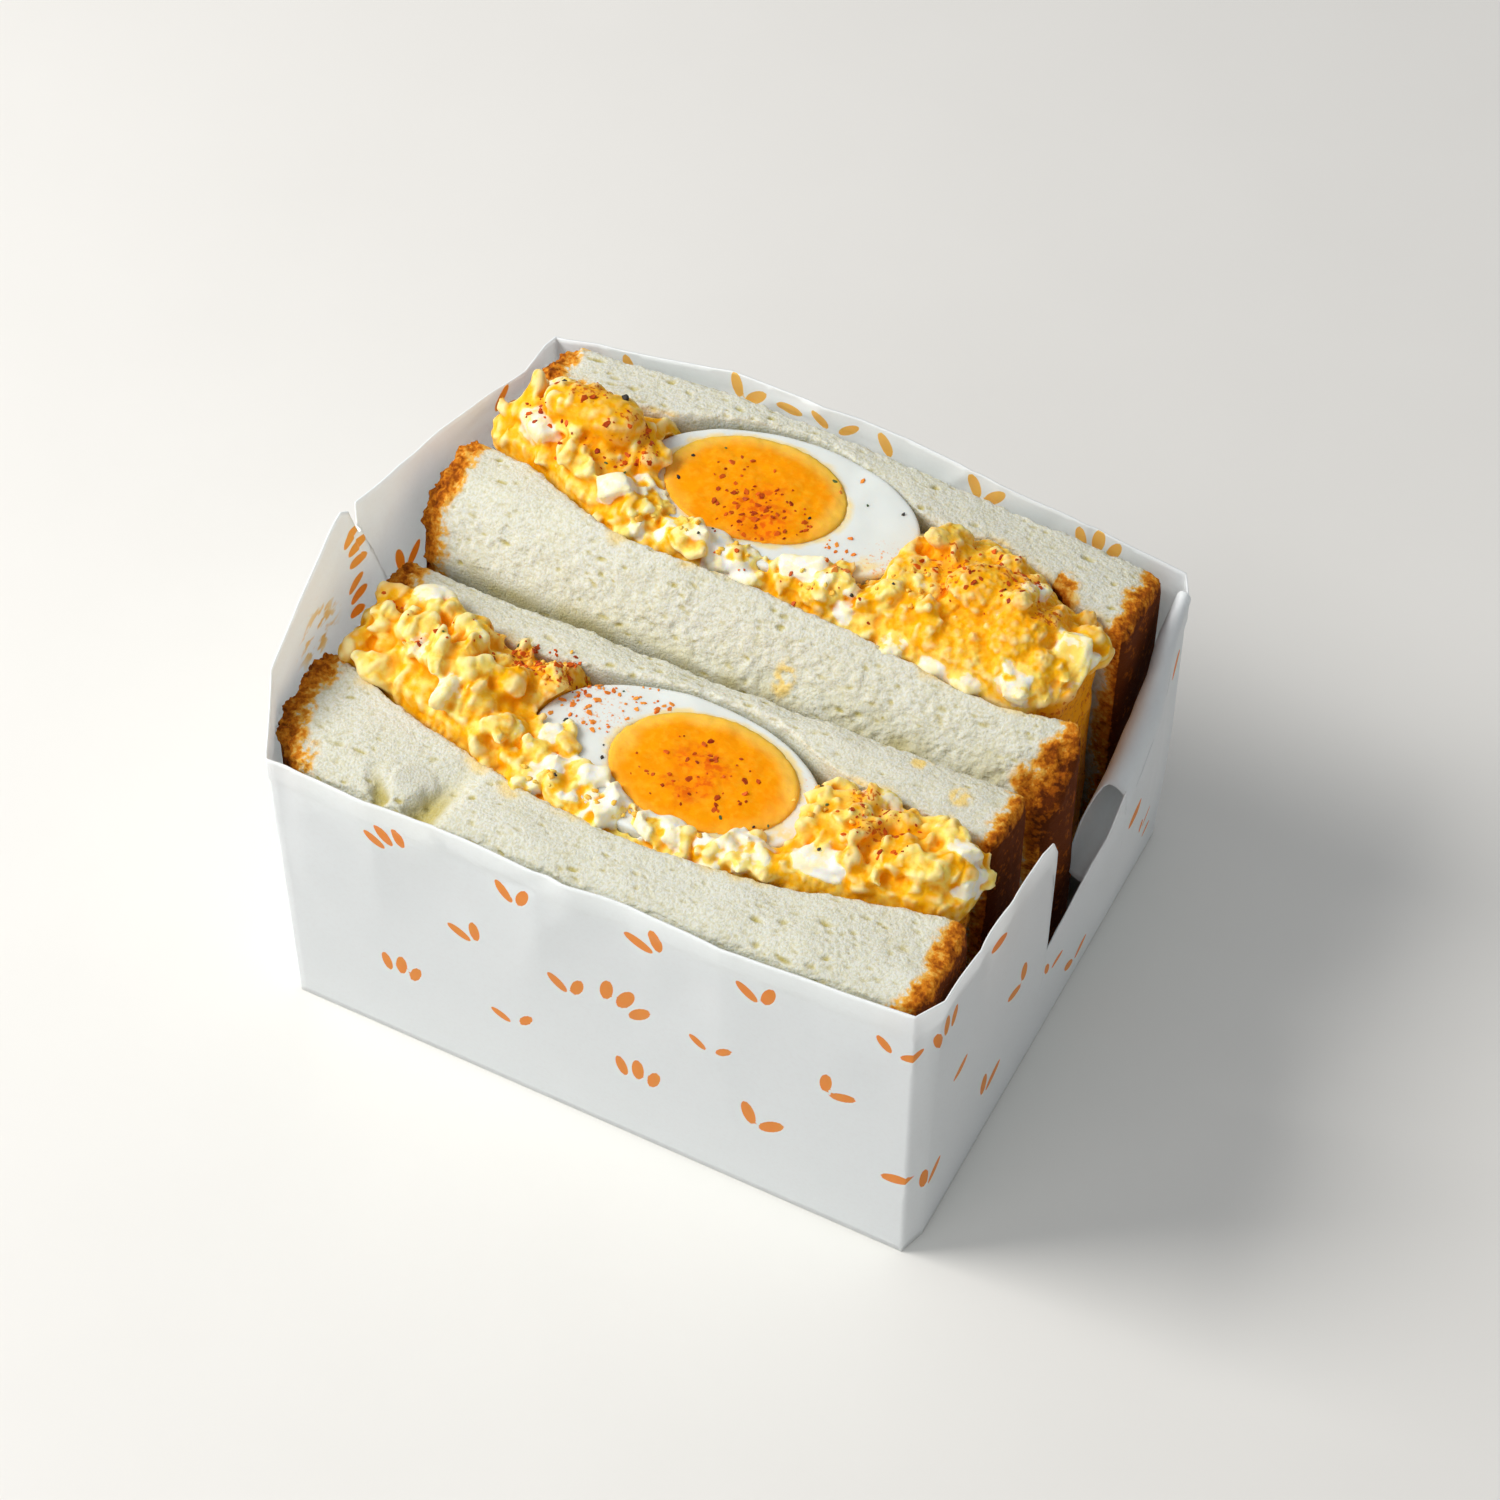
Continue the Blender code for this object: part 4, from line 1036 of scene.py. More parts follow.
def make_yolk(egg, spices, paint):
    """The half yolk: firm orange, its cut face a little domed, with a paler matte edge."""
    rings = egg.bowl(egg.yolk, np.linspace(0.92, 0.08, 7), egg.yolk_depth, 0.1)
    for reach in np.linspace(1.0, 0.06, 34):
        rings.append(egg.ring(egg.yolk, reach, -(1 - reach ** 2) ** 0.5 - 0.05))
    piece = egg.skin("yolk_", rings, (egg.yolk, egg.yolk_depth), (egg.yolk, -1.05), paint)
    mesh = piece.data
    points = points_of(mesh)
    reach = egg.yolk.reach(points)
    flat = rise(points[:, 2], egg.height - 1.0, egg.height)
    distance, _ = cells(points, 1.3, egg.seed)
    crumbly = rise(reach, 0.82, 0.98) * (0.4 + 0.6 * (points[:, 1] < egg.yolk.y))
    bumps = 0.22 * layered_noise(points, 3.5, egg.seed + 3) + (0.15 + 0.5 * crumbly) * (0.55 - distance)
    set_attribute(mesh, "spice", spots(points, spices, 4.0, egg.seed + 5, -0.9, 0.4))
    points[:, 2] += flat * bumps
    set_points(mesh, points)
    across = np.abs(points[:, 0] - egg.yolk.x) / (egg.yolk.length / 2)
    behind = (points[:, 1] - egg.yolk.y) / (egg.yolk.width / 2)
    pale = mix(0.35, 1.0, rise(behind + 0.4 * across, -0.5, 0.5))
    ragged = reach + 0.07 * layered_noise(points, 3.5, egg.seed + 4)
    set_attribute(mesh, "rim", pale * rise(ragged, mix(0.9, 0.7, pale), mix(1.02, 0.92, pale)))
    finish(piece, "egg_yolk", "egg_yolk_" + egg.side)
    return piece


# Wrapper.

WRAPPER_LEFT = -67.1
WRAPPER_RIGHT = 62.3
WRAPPER_FRONT = -51.9
WRAPPER_BACK = 55.4
WALL_HEIGHT = 65.0
# Each wall's place and the axis that it runs along, 0 for x and 1 for y.
WALLS = {"front": (WRAPPER_FRONT, 0), "back": (WRAPPER_BACK, 0),
         "left": (WRAPPER_LEFT, 1), "right": (WRAPPER_RIGHT, 1)}
FRONT_EDGE = smooth_line((-66, 65), (-30, 66), (20, 66.5), (62, 68.5))
BACK_EDGE = smooth_line((-64, 69), (-26, 75.8), (24, 73), (60, 67.5))
LEFT_EDGE = straight_line((WRAPPER_FRONT, 66), (-40, 72.5), (-10, 81), (-8.4, 80), (-6.8, 73.5),
                          (-5.2, 73.5), (-4.4, 78), (25, 74.5), (WRAPPER_BACK, 69))
RIGHT_EDGE = straight_line((WRAPPER_FRONT, 68.5), (-10, 64.5), (-6, 63), (-4.2, 59), (-3.6, 31), (1, 33.5),
                           (10, 40.5), (15, 43), (21, 49.5), (WRAPPER_BACK - 6, 65), (WRAPPER_BACK, 67.5))
LEFT_COLUMNS = (-40, -30, -20, -10, -8.4, -6.8, -5.2, -4.4, 8, 20, 32, 44)
RIGHT_COLUMNS = (-47, -40, -30, -20, -10, -6, -4.2, -3.6, 1, 5.5, 10, 15, 20.8, 21, 27, 34, 41, 49.4, 53)
LEFT_LEAN = smooth_line((WRAPPER_FRONT, -2.2), (-40, -1.0), (-9, 2.2), (20, 0.8), (WRAPPER_BACK, -3.4))
RIGHT_LEAN = smooth_line((WRAPPER_FRONT, 1.0), (-6, 1.6), (20, 3.4), (WRAPPER_BACK, 0.4))
RIGHT_BULGE = smooth_line((WRAPPER_FRONT, 0.0), (0, 1.5), (30, 3.6), (WRAPPER_BACK, 0.5))
PAPER = {"thickness": 0.28, "offset": 0.0}

# The right wall's edge is rolled over from ROLL_START back to ROLL_END, thick in front and thin behind.
ROLL_START = 20.9
ROLL_END = 53.5
ROLL_WIDTH = smooth_line((ROLL_START, 3.1), (34, 2.5), (ROLL_END, 1.2))
ROLL_DEPTH = smooth_line((ROLL_START, 5.4), (34, 4.0), (ROLL_END, 1.6))

# The free edge of the panel that laps over the left wall, as y at a height.
LAP_EDGE = ((20, 6), (45, 1), (54, -1.2), (58.4, -2.0), (66.3, -4.1), (72, -5.6), (81, -8.4))
LAP_START = -26.0


def rolled_edge(y):
    """Height of the right wall below its rolled edge."""
    return RIGHT_EDGE(y) - (ROLL_DEPTH(y) if ROLL_START <= y <= ROLL_END else 0.0)


def wall_columns():
    """Upright lines of the wrapper: foot x and y, lean x and y, bulge, height; one row each."""
    def ripple(x, y):
        return noise.noise(Vector((x, y, 3)) / 18)

    rows = []
    for x in np.linspace(WRAPPER_LEFT + 7.0, WRAPPER_RIGHT - 1.6, 8):
        rows.append((x, WRAPPER_FRONT, 0, -0.6 + ripple(x, 0), 0, FRONT_EDGE(x)))
    for y in RIGHT_COLUMNS:
        rows.append((WRAPPER_RIGHT, y, RIGHT_LEAN(y), 0, RIGHT_BULGE(y), rolled_edge(y)))
    for x in np.linspace(WRAPPER_RIGHT - 1.6, WRAPPER_LEFT + 1.6, 8):
        rows.append((x, WRAPPER_BACK, 0, 0.8 + ripple(x, 5), 0, BACK_EDGE(x)))
    for y in reversed(LEFT_COLUMNS):
        rows.append((WRAPPER_LEFT, y, -LEFT_LEAN(y), 0, 0, LEFT_EDGE(y)))
    return np.array(rows, dtype=float)


class Wall:
    """The wrapper's upright sheet, addressed by the distance along its foot and the height."""

    def __init__(self):
        rows = wall_columns()
        rows = np.concatenate([rows, rows[:1]])
        steps = np.hypot(*np.diff(rows[:, :2], axis=0).T)
        self.marks = np.concatenate([[0.0], np.cumsum(steps)])
        self.rows = rows
        self.around = self.marks[-1]

    def column(self, along):
        """The upright line at a distance along the foot, as in wall_columns."""
        along = np.asarray(along) % self.around
        return np.stack([np.interp(along, self.marks, self.rows[:, index]) for index in range(6)], axis=-1)

    def height(self, along):
        return self.column(along)[..., 5]

    def along(self, side, place):
        """Distance along the foot of an x on the front or back, or a y on the left or right."""
        fixed, axis = WALLS[side]
        rows = np.abs(self.rows[:, 1 - axis] - fixed) < 0.01
        marks, places = self.marks[rows], self.rows[rows, axis]
        order = np.argsort(places)
        return np.interp(place, places[order], marks[order])

    def at(self, along, z, proud=0.0):
        """Points of the sheet at a distance along its foot and a height, pushed outward by proud."""
        column = self.column(along)
        lean = (z / WALL_HEIGHT) ** 2
        bulge = column[..., 4] * np.sin(np.pi * np.minimum(z / WALL_HEIGHT, 1.0))
        x = column[..., 0] + column[..., 2] * lean + bulge
        y = column[..., 1] + column[..., 3] * lean
        before, after = self.column(along - 1.5), self.column(along + 1.5)
        out_x, out_y = after[..., 1] - before[..., 1], before[..., 0] - after[..., 0]
        size = np.hypot(out_x, out_y)
        push = proud + self.creases(along, z) - self.lap(column, z)
        place = np.stack([x + out_x / size * push, y + out_y / size * push, z + 0.25 + 0 * x], axis=-1)
        return place + SHIFT

    def lap(self, column, z):
        """How far inward the front panel's end lies where it laps over the left wall."""
        heights, places = zip(*LAP_EDGE)
        edge = np.interp(z, heights, places)
        y = column[..., 1]
        share = np.clip((y - LAP_START) / (edge - LAP_START), 0, 1)
        on_left = column[..., 0] < WRAPPER_LEFT + 0.01
        return on_left * (0.3 * share + 1.2 * share ** 6) * (1 - rise(y - edge, 0.0, 0.45)) * rise(z, 20, 40)

    def creases(self, along, z):
        """Gentle waves, sharper folds and fine crease lines in the paper."""
        flat = np.stack([along, z, 0 * along], axis=-1)
        waves = 0.35 * soft_noise(flat, 16, 41) + 0.2 * soft_noise(flat * (1, 0.5, 1), 7, 42)
        folds = np.abs(soft_noise(flat * (1, 0.6, 1), 13, 43)) ** 0.7
        lines = np.exp(-(soft_noise(flat * (1, 0.45, 1), 24, 44) / 0.05) ** 2)
        free = rise(z, 12, 60)
        below_edge = self.height(along) - z
        turned_strip = 0.35 * rise(below_edge, 6.5, 4.5) * rise(z, 50, 56)
        return (waves + 0.55 * (0.4 - folds) - 0.3 * lines) * free + turned_strip


def make_roll(wall, paint):
    """A tube of paper rolled inward along the right wall's edge, open at its ends."""
    turns = np.radians(np.linspace(-12, 335, 26))
    curl = 1 - 0.18 * rise(turns, math.pi, 1.5 * math.pi)
    grid = []
    for y in np.linspace(ROLL_START, ROLL_END, 40):
        wide, deep = ROLL_WIDTH(y), ROLL_DEPTH(y)
        foot = wall.at(wall.along("right", y), rolled_edge(y), 0.1)
        lead = 9.0 * (1 - rise(y, ROLL_START, ROLL_START + 12))
        lead = lead * rise(turns, math.radians(100), math.radians(205))
        grid.append(np.stack([foot[0] - wide + wide * np.cos(turns) * curl - 0.04 * lead, foot[1] - lead,
                              foot[2] + deep * np.sin(turns) * curl - 0.8 * lead], axis=-1))
    grid = np.array(grid)
    grid += 0.25 * soft_noise(grid, 5.0, 91)[..., None]
    piece = new_piece("edge_roll", grid.reshape(-1, 3), grid_faces(*grid.shape[:2], closed=False), paint)
    modify(piece, "SOLIDIFY", **PAPER)
    finish(piece, "paper")


# Each printed cluster is a few petals, each (right, up, length, turn).
CLUSTERS = (
    ((-3.2, 0.0, 5.3, 1.85), (0.0, 0.9, 5.8, 1.57), (3.2, 0.0, 5.3, 1.29)),
    ((-2.1, 0.0, 5.6, 2.1), (2.1, 0.0, 5.6, 1.04)),
    ((0.0, 0.0, 5.5, 0.4),),
    ((-2.8, 0.0, 4.6, 2.4), (2.8, 0.0, 4.6, 0.7)),
)

# Clusters that show inside the upper edges: side, place, distance below the edge, cluster and turn.
INSIDE_PRINT = (
    ("left", -8.6, 9.0, 0, 1.45), ("left", -10.2, 20.5, 0, 1.7), ("left", 6.0, 21.0, 1, 0.4),
    ("left", 38.0, 4.5, 1, 1.2), ("back", -50.0, 3.5, 2, 0.9), ("back", -26.0, 3.2, 1, 0.3),
    ("back", -17.0, 3.6, 2, -0.4), ("back", -8.0, 3.4, 3, 0.1), ("back", 2.0, 3.4, 2, 0.7),
    ("back", 22.0, 3.4, 1, 0.2), ("back", 44.0, 3.4, 0, 0.1),
)


class Petal:
    """A printed ellipse on the paper, outside for side 1 and inside for side -1."""

    def __init__(self, wall, along, z, length, turn, side):
        self.middle = wall.at(along, z)
        right = unit(wall.at(along + 1.0, z) - wall.at(along - 1.0, z))
        up = unit(wall.at(along, z + 1.0) - wall.at(along, z - 1.0))
        self.face = side * np.cross(right, up)
        self.inside = side < 0
        self.length = length
        self.long = (math.cos(turn) * right + math.sin(turn) * up) / (0.5 * length)
        self.short = (math.cos(turn) * up - math.sin(turn) * right) / (0.21 * length)

    def reach(self, points):
        """Distance from the middle, as 1 on the outline."""
        offset = points - self.middle
        return np.hypot(offset @ self.long, offset @ self.short)


def cluster_petals(wall, along, z, cluster, turn, scale, side):
    petals = []
    for right, up, length, spin in cluster:
        across = (right * math.cos(turn) - up * math.sin(turn)) * scale
        upward = (right * math.sin(turn) + up * math.cos(turn)) * scale
        petals.append(Petal(wall, along + across, z + upward, length * scale, spin + turn, side))
    return petals


def print_layout(wall):
    """All printed petals: clusters in a loose grid outside, and some inside the upper edges."""
    draw = random.Random(81)
    petals = []
    for side, start, end, levels in (
        ("front", -58, 58, (9, 28, 47)), ("right", -46, 50, (9, 29, 49)),
        ("left", -46, 50, (9, 31, 51)), ("back", -58, 58, (5, 26, 46)),
    ):
        for row, below in enumerate(levels):
            for place in np.arange(start + 11 * (row % 2), end, 23):
                middle = wall.along(side, place + draw.uniform(-3, 3))
                level = wall.height(middle) - below + draw.uniform(-2, 2)
                petals += cluster_petals(wall, middle, level, draw.choice(CLUSTERS), draw.uniform(-0.7, 0.7),
                                         draw.uniform(0.85, 1.1), 1)
    for side, place, below, index, turn in INSIDE_PRINT:
        middle = wall.along(side, place)
        petals += cluster_petals(wall, middle, wall.height(middle) - below, CLUSTERS[index], turn, 1.0, -1)
    return petals


def refine_print(piece, petals):
    """Smaller faces where the paper is printed."""
    ahead = 4.0
    tree = tree_of([petal.middle + ahead * petal.face for petal in petals])
    refine(piece, lambda middle, normal: tree.find(middle + ahead * normal)[2] < 4.0)


def paint_print(piece, petals):
    """Notes how far inside a printed petal each point lies, 0.5 on the outline, and the smear of sauce."""
    points, normals = points_of(piece.data), normals_of(piece.data)
    printed, inside = np.zeros((2, len(points)))
    for petal in petals:
        near = (np.abs(points - petal.middle).max(axis=1) < petal.length) & (normals @ petal.face > 0.3)
        printed[near] = np.maximum(printed[near], 1.5 - petal.reach(points[near]))
        inside[near] = petal.inside
    set_attribute(piece.data, "print", np.clip(printed, 0, 1))
    set_attribute(piece.data, "inside", inside)
    on_left = (points[:, 0] < WRAPPER_LEFT + 8) & (normals[:, 0] > 0.3)
    away = np.hypot((points[:, 1] + 25.6) / 9, (points[:, 2] - 65.0) / 8)
    set_attribute(piece.data, "smear", on_left * (1 - rise(away, 0.4, 1.0)))


def make_wrapper(paint):
    """One thin sheet round both halves, with a folded base."""
    wall = Wall()
    near_lap = np.sort([wall.along("left", -11), wall.along("left", 6)])
    along = np.concatenate([np.arange(0, wall.around, 1.4), wall.marks[:-1], np.arange(*near_lap, 0.35)])
    along = np.unique(np.round(along, 3))
    shares = np.concatenate([np.linspace(0, 0.6, 30), np.linspace(0.6, 1.0, 28)[1:]])
    vertices = np.concatenate([wall.at(along, wall.height(along) * share) for share in shares])
    base = list(range(len(along)))[::-1]
    piece = new_piece("wrapper", vertices, grid_faces(len(shares), len(along)) + [base], paint)
    modify(piece, "SOLIDIFY", **PAPER)
    petals = print_layout(wall)
    refine_print(piece, petals)
    paint_print(piece, petals)
    finish(piece, "paper", "paper_wrapper")
    return wall


# Build.

paints = {
    "bread": bread_paint(),
    "salad": salad_paint(),
    "white": white_paint(),
    "yolk": yolk_paint(),
    "crumbs": crumbs_paint(),
    "chilli": chilli_paint("chilli", (0.72, 0.12, 0.006), (0.26, 0.018, 0.003)),
    "pale_chilli": chilli_paint("chilli_on_pale", (0.90, 0.34, 0.05), (0.66, 0.10, 0.008)),
    "pepper": speck_paint("pepper", (0.05, 0.04, 0.03), (0.015, 0.012, 0.01)),
    "herb": speck_paint("herb", (0.10, 0.16, 0.03), (0.03, 0.06, 0.015)),
    "paper": paper_paint(),
}

front_egg = Egg("front", (1.0, -20.9), (5.0, 0.6), FRONT_CUT, 61)
back_egg = Egg("back", (-7.5, 33.9), (-5.0, 0.4), BACK_CUT, 62)
whites = [
    make_white(front_egg, ((-20, -30, 5), (26, -29, 4)), ((-14, -17, 9), (24, -18, 5)), paints["white"]),
    make_white(back_egg, ((19, 34, 4), (15, 23, 5), (-31, 26, 5)), ((17, 27, 6), (-29, 30, 4)),
               paints["white"]),
]
yolks = [make_yolk(front_egg, ((7, -24, 9),), paints["yolk"]),
         make_yolk(back_egg, ((-6, 27, 10),), paints["yolk"])]

front_salad = make_salad("egg_salad_front", (
    Region((-53, -18), (9, 9), 0.05, 0.35, curds=12, strips=12),
    Region((-38, -18), (9, 10), 0.1, 0.45, curds=14, strips=16, dice=1, grains=8),
    Region((-24, -14), (6, 5), 0.95, 1.0, curds=5, strips=2, grains=70),
    Region((-20, -31), (7, 4), 0.5, 0.6, curds=10, strips=6, grains=24),
    Region((2, -35.5), (20, 3.0), 0.3, 0.25, curds=16, strips=12, dice=14, grains=36),
    Region((34, -24), (9, 8), 0.3, 0.65, curds=18, strips=12, dice=2, grains=20),
    Region((50, -24), (8, 8), 0.3, 0.6, curds=16, strips=8, dice=2, grains=12),
), (
    Chunk("blob", (-57.5, -13.5), (3.7, 2.4, 2.2), (0, 0, 25), 0.0, 1.4),
    Chunk("blob", (-51.5, -11.8), (4.4, 2.8, 2.0), (10, 0, 20), 0.95, 1.2),
    Chunk("blob", (-46.0, -20.0), (5.5, 1.8, 1.5), (0, 0, -55), 0.7, 0.8),
    Chunk("blob", (-40.0, -16.0), (4.5, 1.7, 1.4), (0, 10, -30), 0.6, 0.8),
    Chunk("blob", (-42.0, -24.0), (5.0, 1.6, 1.3), (0, 0, -70), 0.5, 0.8),
    Chunk("block", (-7.6, -32.0), (2.2, 1.8, 2.4), (8, 12, 30), 1.12, 0.2),
    Chunk("block", (-1.0, -34.2), (1.8, 1.4, 1.3), (10, -14, 60), 1.05, 0.4),
    Chunk("blob", (8.3, -35.4), (3.2, 1.9, 1.8), (0, 0, 10), 1.0, 0.4),
    Chunk("blob", (21.8, -33.0), (3.4, 2.2, 2.0), (0, 8, -15), 0.95, 0.3),
    Chunk("block", (35.0, -32.0), (4.2, 2.0, 1.3), (14, 4, 8), 1.05, 0.5),
    Chunk("block", (29.0, -20.0), (2.6, 2.1, 2.4), (20, -12, 40), 0.5, 0.8),
    Chunk("block", (34.5, -24.0), (2.5, 2.0, 1.9), (-14, 20, 70), 0.5, 0.8),
    Chunk("block", (54.0, -21.5), (2.0, 1.6, 1.5), (10, 20, 15), 0.85, 0.6),
    Chunk("blob", (51.7, -27.5), (3.3, 3.1, 2.8), (0, 0, 0), 0.55, 1.0),
    Chunk("block", (59.0, -23.5), (1.3, 0.8, 2.1), (6, 14, 30), 1.15, 0.2),
), ((-24, -13, 9), (-30, -15, 6), (41, -23, 5.5), (36, -18, 4), (-36, -12, 5)),
    31, paints["salad"], front_egg, ((186, 275, 0.74), (275, 325, 0.88)))
back_salad = make_salad("egg_salad_back", (
    Region((-50, 30), (9, 8), 0.1, 0.45, curds=12, strips=8, dice=1, grains=8),
    Region((-36, 28), (8, 9), 0.25, 0.6, curds=8, strips=6, grains=18),
    Region((-26, 18), (6, 4), 0.2, 0.4, curds=8, strips=8, dice=3, grains=10),
    Region((-5, 17.4), (20, 2.8), 0.3, 0.25, curds=14, strips=12, dice=12, grains=36),
    Region((24, 24), (8, 9), 0.5, 0.6, curds=16, strips=5, dice=1, grains=50),
    Region((41, 26), (10, 10), 0.75, 0.7, curds=20, strips=5, dice=1, grains=110),
    Region((50, 17), (7, 5), 0.6, 0.5, curds=10, strips=4, dice=3, grains=36),
    Region((57, 22), (4, 7), 0.3, 0.5, curds=6, strips=3, dice=1, grains=6),
), (
    Chunk("blob", (-41.0, 30.5), (9.5, 5.0, 3.4), (-8, 4, -4), 0.12, 0.4),
    Chunk("blob", (-31.0, 30.0), (5.0, 3.0, 2.2), (0, 12, -18), 0.1, 0.6),
    Chunk("blob", (-50.0, 25.5), (4.2, 2.6, 2.0), (0, 0, -30), 0.9, 0.7),
    Chunk("block", (-31.0, 18.4), (2.8, 2.3, 1.9), (14, -12, 34), 1.02, 0.3),
    Chunk("block", (-25.5, 16.6), (2.2, 1.7, 1.3), (12, 10, 60), 0.85, 0.3),
    Chunk("blob", (-11.0, 17.8), (3.8, 2.3, 2.0), (0, 0, 0), 1.05, 0.4),
    Chunk("block", (-4.0, 17.4), (1.8, 1.4, 1.3), (10, 14, 40), 0.95, 0.4),
    Chunk("block", (5.8, 18.6), (4.0, 2.5, 1.9), (8, -6, 14), 1.08, 0.5),
    Chunk("blob", (12.5, 18.8), (2.6, 2.0, 1.8), (0, 0, 0), 0.6, 0.4),
    Chunk("blob", (33.5, 11.8), (2.4, 1.7, 1.3), (0, 0, 20), 1.0, 0.2),
    Chunk("blob", (40.0, 11.4), (2.6, 1.8, 1.3), (0, 0, -10), 0.9, 0.2),
    Chunk("blob", (36.0, 26.0), (6.5, 5.0, 2.4), (0, 8, 20), -0.1, 0.8),
    Chunk("blob", (45.0, 22.0), (5.0, 5.5, 2.4), (0, 0, 0), 0.05, 0.6),
    Chunk("block", (55.6, 19.6), (2.9, 1.6, 7.4), (-38, 0, 15), 0.82, -1.2),
    Chunk("block", (56.4, 23.6), (2.7, 2.0, 2.0), (-20, 10, 15), 1.1, 1.2),
    Chunk("blob", (59.6, 26.5), (1.9, 2.4, 2.2), (0, 0, 0), 0.55, 0.2),
), ((-33, 28, 6), (-44, 32, 5), (30, 28, 8), (40, 31, 8), (48, 26, 4)),
    37, paints["salad"], back_egg, ((205, 320, 0.9),))
filling_points = np.concatenate([points_of(front_salad.data), points_of(back_salad.data)])
filling_points = filling_points[filling_points[:, 2] > 56][::3]

slices = [
    make_bread("bread_front_outer", 51, paints["bread"], flaps=((-34.6, -45.8, 4.2, 0.3),), dents=(
        ((-27.8, -40.0), (-30.4, -50.5), 3.6, 2.7), ((-41.9, -46.4), (-38.0, -50.8), 1.8, 1.4))),
    make_bread("bread_front_inner", 52, paints["bread"], ((39.5, -3.5, 3.5), (49.0, -8.5, 3.0)), longer=2.0),
    make_bread("bread_back_inner", 53, paints["bread"], ((10.4, 2.3, 3.0),),
               worn_corners=((65.5, 0.5, 12.0, 3.0),), longer=1.7),
    make_bread("bread_back_outer", 54, paints["bread"], ((47.8, 37.1, 3.0),)),
]

make_roll(make_wrapper(paints["paper"]), paints["paper"])


# Small toppings.

ground = Ground(front_salad, back_salad, *slices, *whites, *yolks)


def scatter(places, draw):
    """Points on the surface inside round patches, each (x, y, reach x, reach y, count)."""
    for x, y, reach_x, reach_y, count in places:
        for _ in range(count):
            angle, out = draw.uniform(0, 2 * math.pi), math.sqrt(draw.random())
            found = ground.below(x + reach_x * out * math.cos(angle), y + reach_y * out * math.sin(angle))
            if found and found[0].z > CUT_FACE_ABOVE:
                yield found


def add_chips(name, places, sizes, seed, paint):
    draw = random.Random(seed)
    shapes = [chip(place, normal, mix(*sizes, draw.random() ** 2), draw)
              for place, normal in scatter(places, draw)]
    piece = joined(name, shapes, paint)
    piece.data.shade_flat()
    finish(piece, "egg_salad")


def add_crumbs(name, places, sizes, seed, paint, slot):
    draw = random.Random(seed)
    shapes = []
    for place, normal in scatter(places, draw):
        size = draw.uniform(*sizes)
        shapes.append(blob(place + normal * size * 0.2, size * np.array((1.1, 0.9, 0.7)),
                           random_turn(draw, 0.8), draw, 2, 0.6))
    finish(joined(name, shapes, paint), slot)


add_chips("chilli_on_white", ((-15, -17, 7, 6, 44), (-8, -12, 5, 3, 18), (9, 26.5, 3, 3, 12),
                              (11.5, 20, 3, 2, 12), (2, 41, 8, 3, 3), (-22, -20, 3, 3, 5)),
          (0.3, 1.1), 71, paints["pale_chilli"])
add_chips("chilli_on_yolk", ((7, -24, 12, 8, 46), (-7, 27, 10, 6, 70), (-12, 33, 9, 6, 16)),
          (0.28, 1.1), 72, paints["chilli"])
add_chips("chilli_on_salad", ((-26, -14, 8, 5, 80), (-46, -17, 15, 7, 20), (41, -24, 8, 6, 40),
                              (-42, 28, 12, 8, 44), (-33, 28, 5, 5, 24), (34, 29, 12, 8, 60),
                              (0, 16, 24, 3, 14)),
          (0.28, 1.1), 73, paints["chilli"])
add_chips("herb_bits", ((0, -20, 50, 14, 6), (0, 28, 50, 14, 8)), (0.4, 0.8), 74, paints["herb"])
add_crumbs("pepper", ((0, -22, 55, 16, 7), (0, 28, 55, 16, 9)), (0.2, 0.36), 75,
           paints["pepper"], "egg_salad")
add_crumbs("peppercorns", ((-49.8, 34.0, 0.1, 0.1, 1), (-37.7, 34.2, 0.1, 0.1, 1)), (0.75, 0.9), 77,
           paints["pepper"], "egg_salad")
add_crumbs("yolk_crumbs", ((0, -36.5, 22, 2, 16), (-8, 16, 22, 2, 16), (30, -22, 8, 6, 12),
                           (22, 22, 8, 5, 12), (-24, -14, 6, 5, 12)),
           (0.25, 0.6), 76, paints["crumbs"], "egg_yolk")


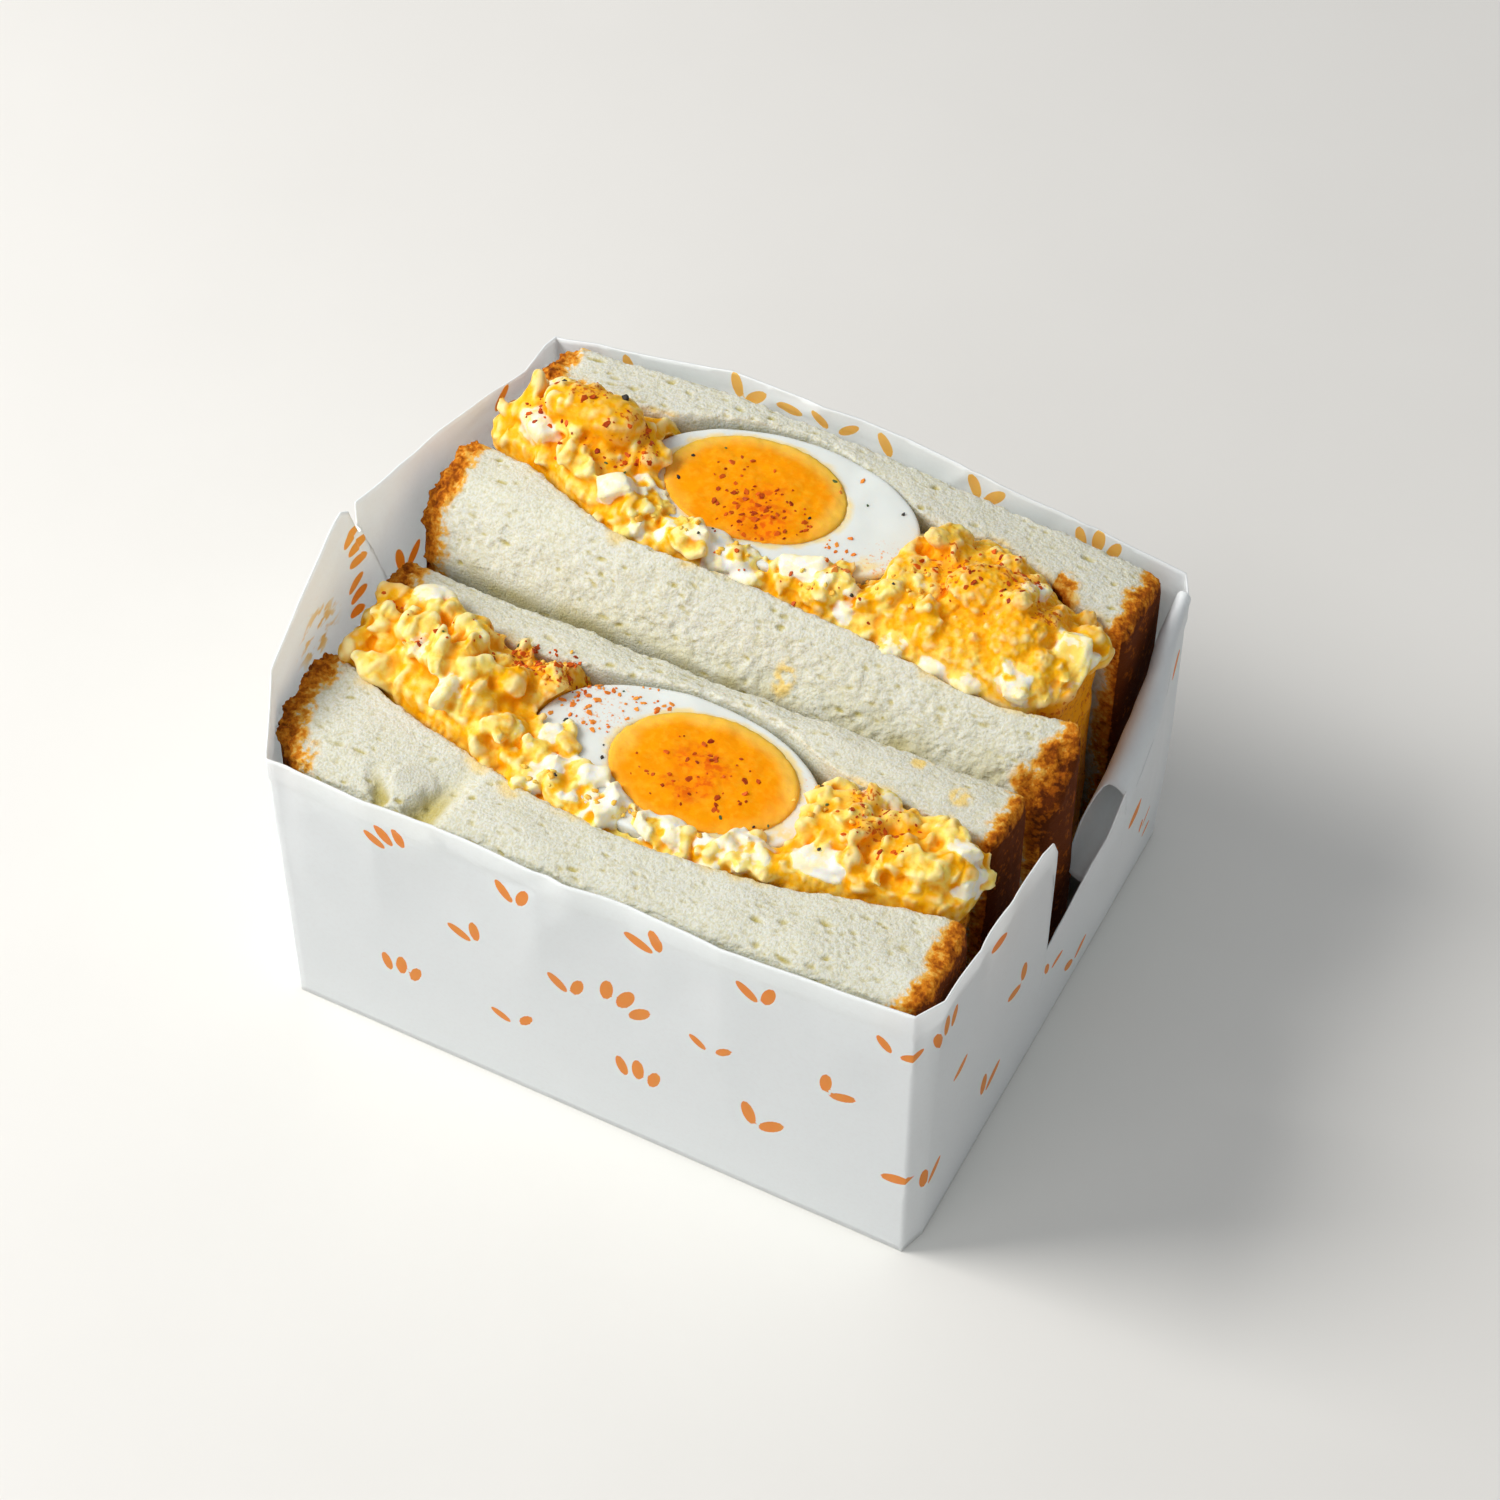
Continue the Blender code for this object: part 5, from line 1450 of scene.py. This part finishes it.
# Metres, camera, light and floor.

for piece in pieces:
    piece.data.transform(Matrix.Scale(MM, 4))
    piece.data.update()


def add_camera():
    """The photograph's view: 27 degrees round to the right and 50 degrees up."""
    azimuth, elevation, roll = math.radians(27.11), math.radians(49.73), math.radians(0.40)
    target = Vector((-15.15, 39.7, -7.0)) * MM
    distance = 713.2 * MM
    back = Vector((math.sin(azimuth) * math.cos(elevation), -math.cos(azimuth) * math.cos(elevation),
                   math.sin(elevation)))
    right = Vector((math.cos(azimuth), math.sin(azimuth), 0))
    up = back.cross(right)
    side = right * math.cos(roll) + up * math.sin(roll)
    upward = up * math.cos(roll) - right * math.sin(roll)
    data = bpy.data.cameras.new("camera")
    data.lens = 88.08
    data.sensor_width = 36.0
    data.clip_start = 0.01
    camera = placed("camera", data)
    turn = Matrix((side, upward, back)).transposed().to_4x4()
    camera.matrix_world = Matrix.Translation(target + back * distance) @ turn
    bpy.context.scene.camera = camera


def add_light(name, place, size, power, color):
    data = bpy.data.lights.new(name, "AREA")
    data.size = size
    data.energy = power
    data.color = color
    light = placed(name, data)
    light.location = place
    light.rotation_euler = (-Vector(place)).to_track_quat("-Z", "Y").to_euler()


def add_floor():
    half = 1.2
    paint = Paint("floor", 0.9)
    paint.start(paint.grain(40.0), (0.80, 0.78, 0.74), (0.77, 0.75, 0.71))
    corners = [(-half, -half, 0), (half, -half, 0), (half, half, 0), (-half, half, 0)]
    new_piece("floor", corners, [(0, 1, 2, 3)], paint.done())


add_camera()
add_light("key", (-0.72, -0.30, 0.80), 0.5, 10.9, (1.0, 0.985, 0.965))
add_light("fill", (-0.15, -1.0, 0.55), 0.9, 2.7, (0.96, 0.98, 1.0))
add_floor()
world = bpy.data.worlds.new("world")
world.use_nodes = True
world.node_tree.nodes["Background"].inputs["Color"].default_value = (0.93, 0.96, 1.0, 1.0)
world.node_tree.nodes["Background"].inputs["Strength"].default_value = 0.4
bpy.context.scene.world = world
bpy.context.scene.view_settings.view_transform = "Standard"
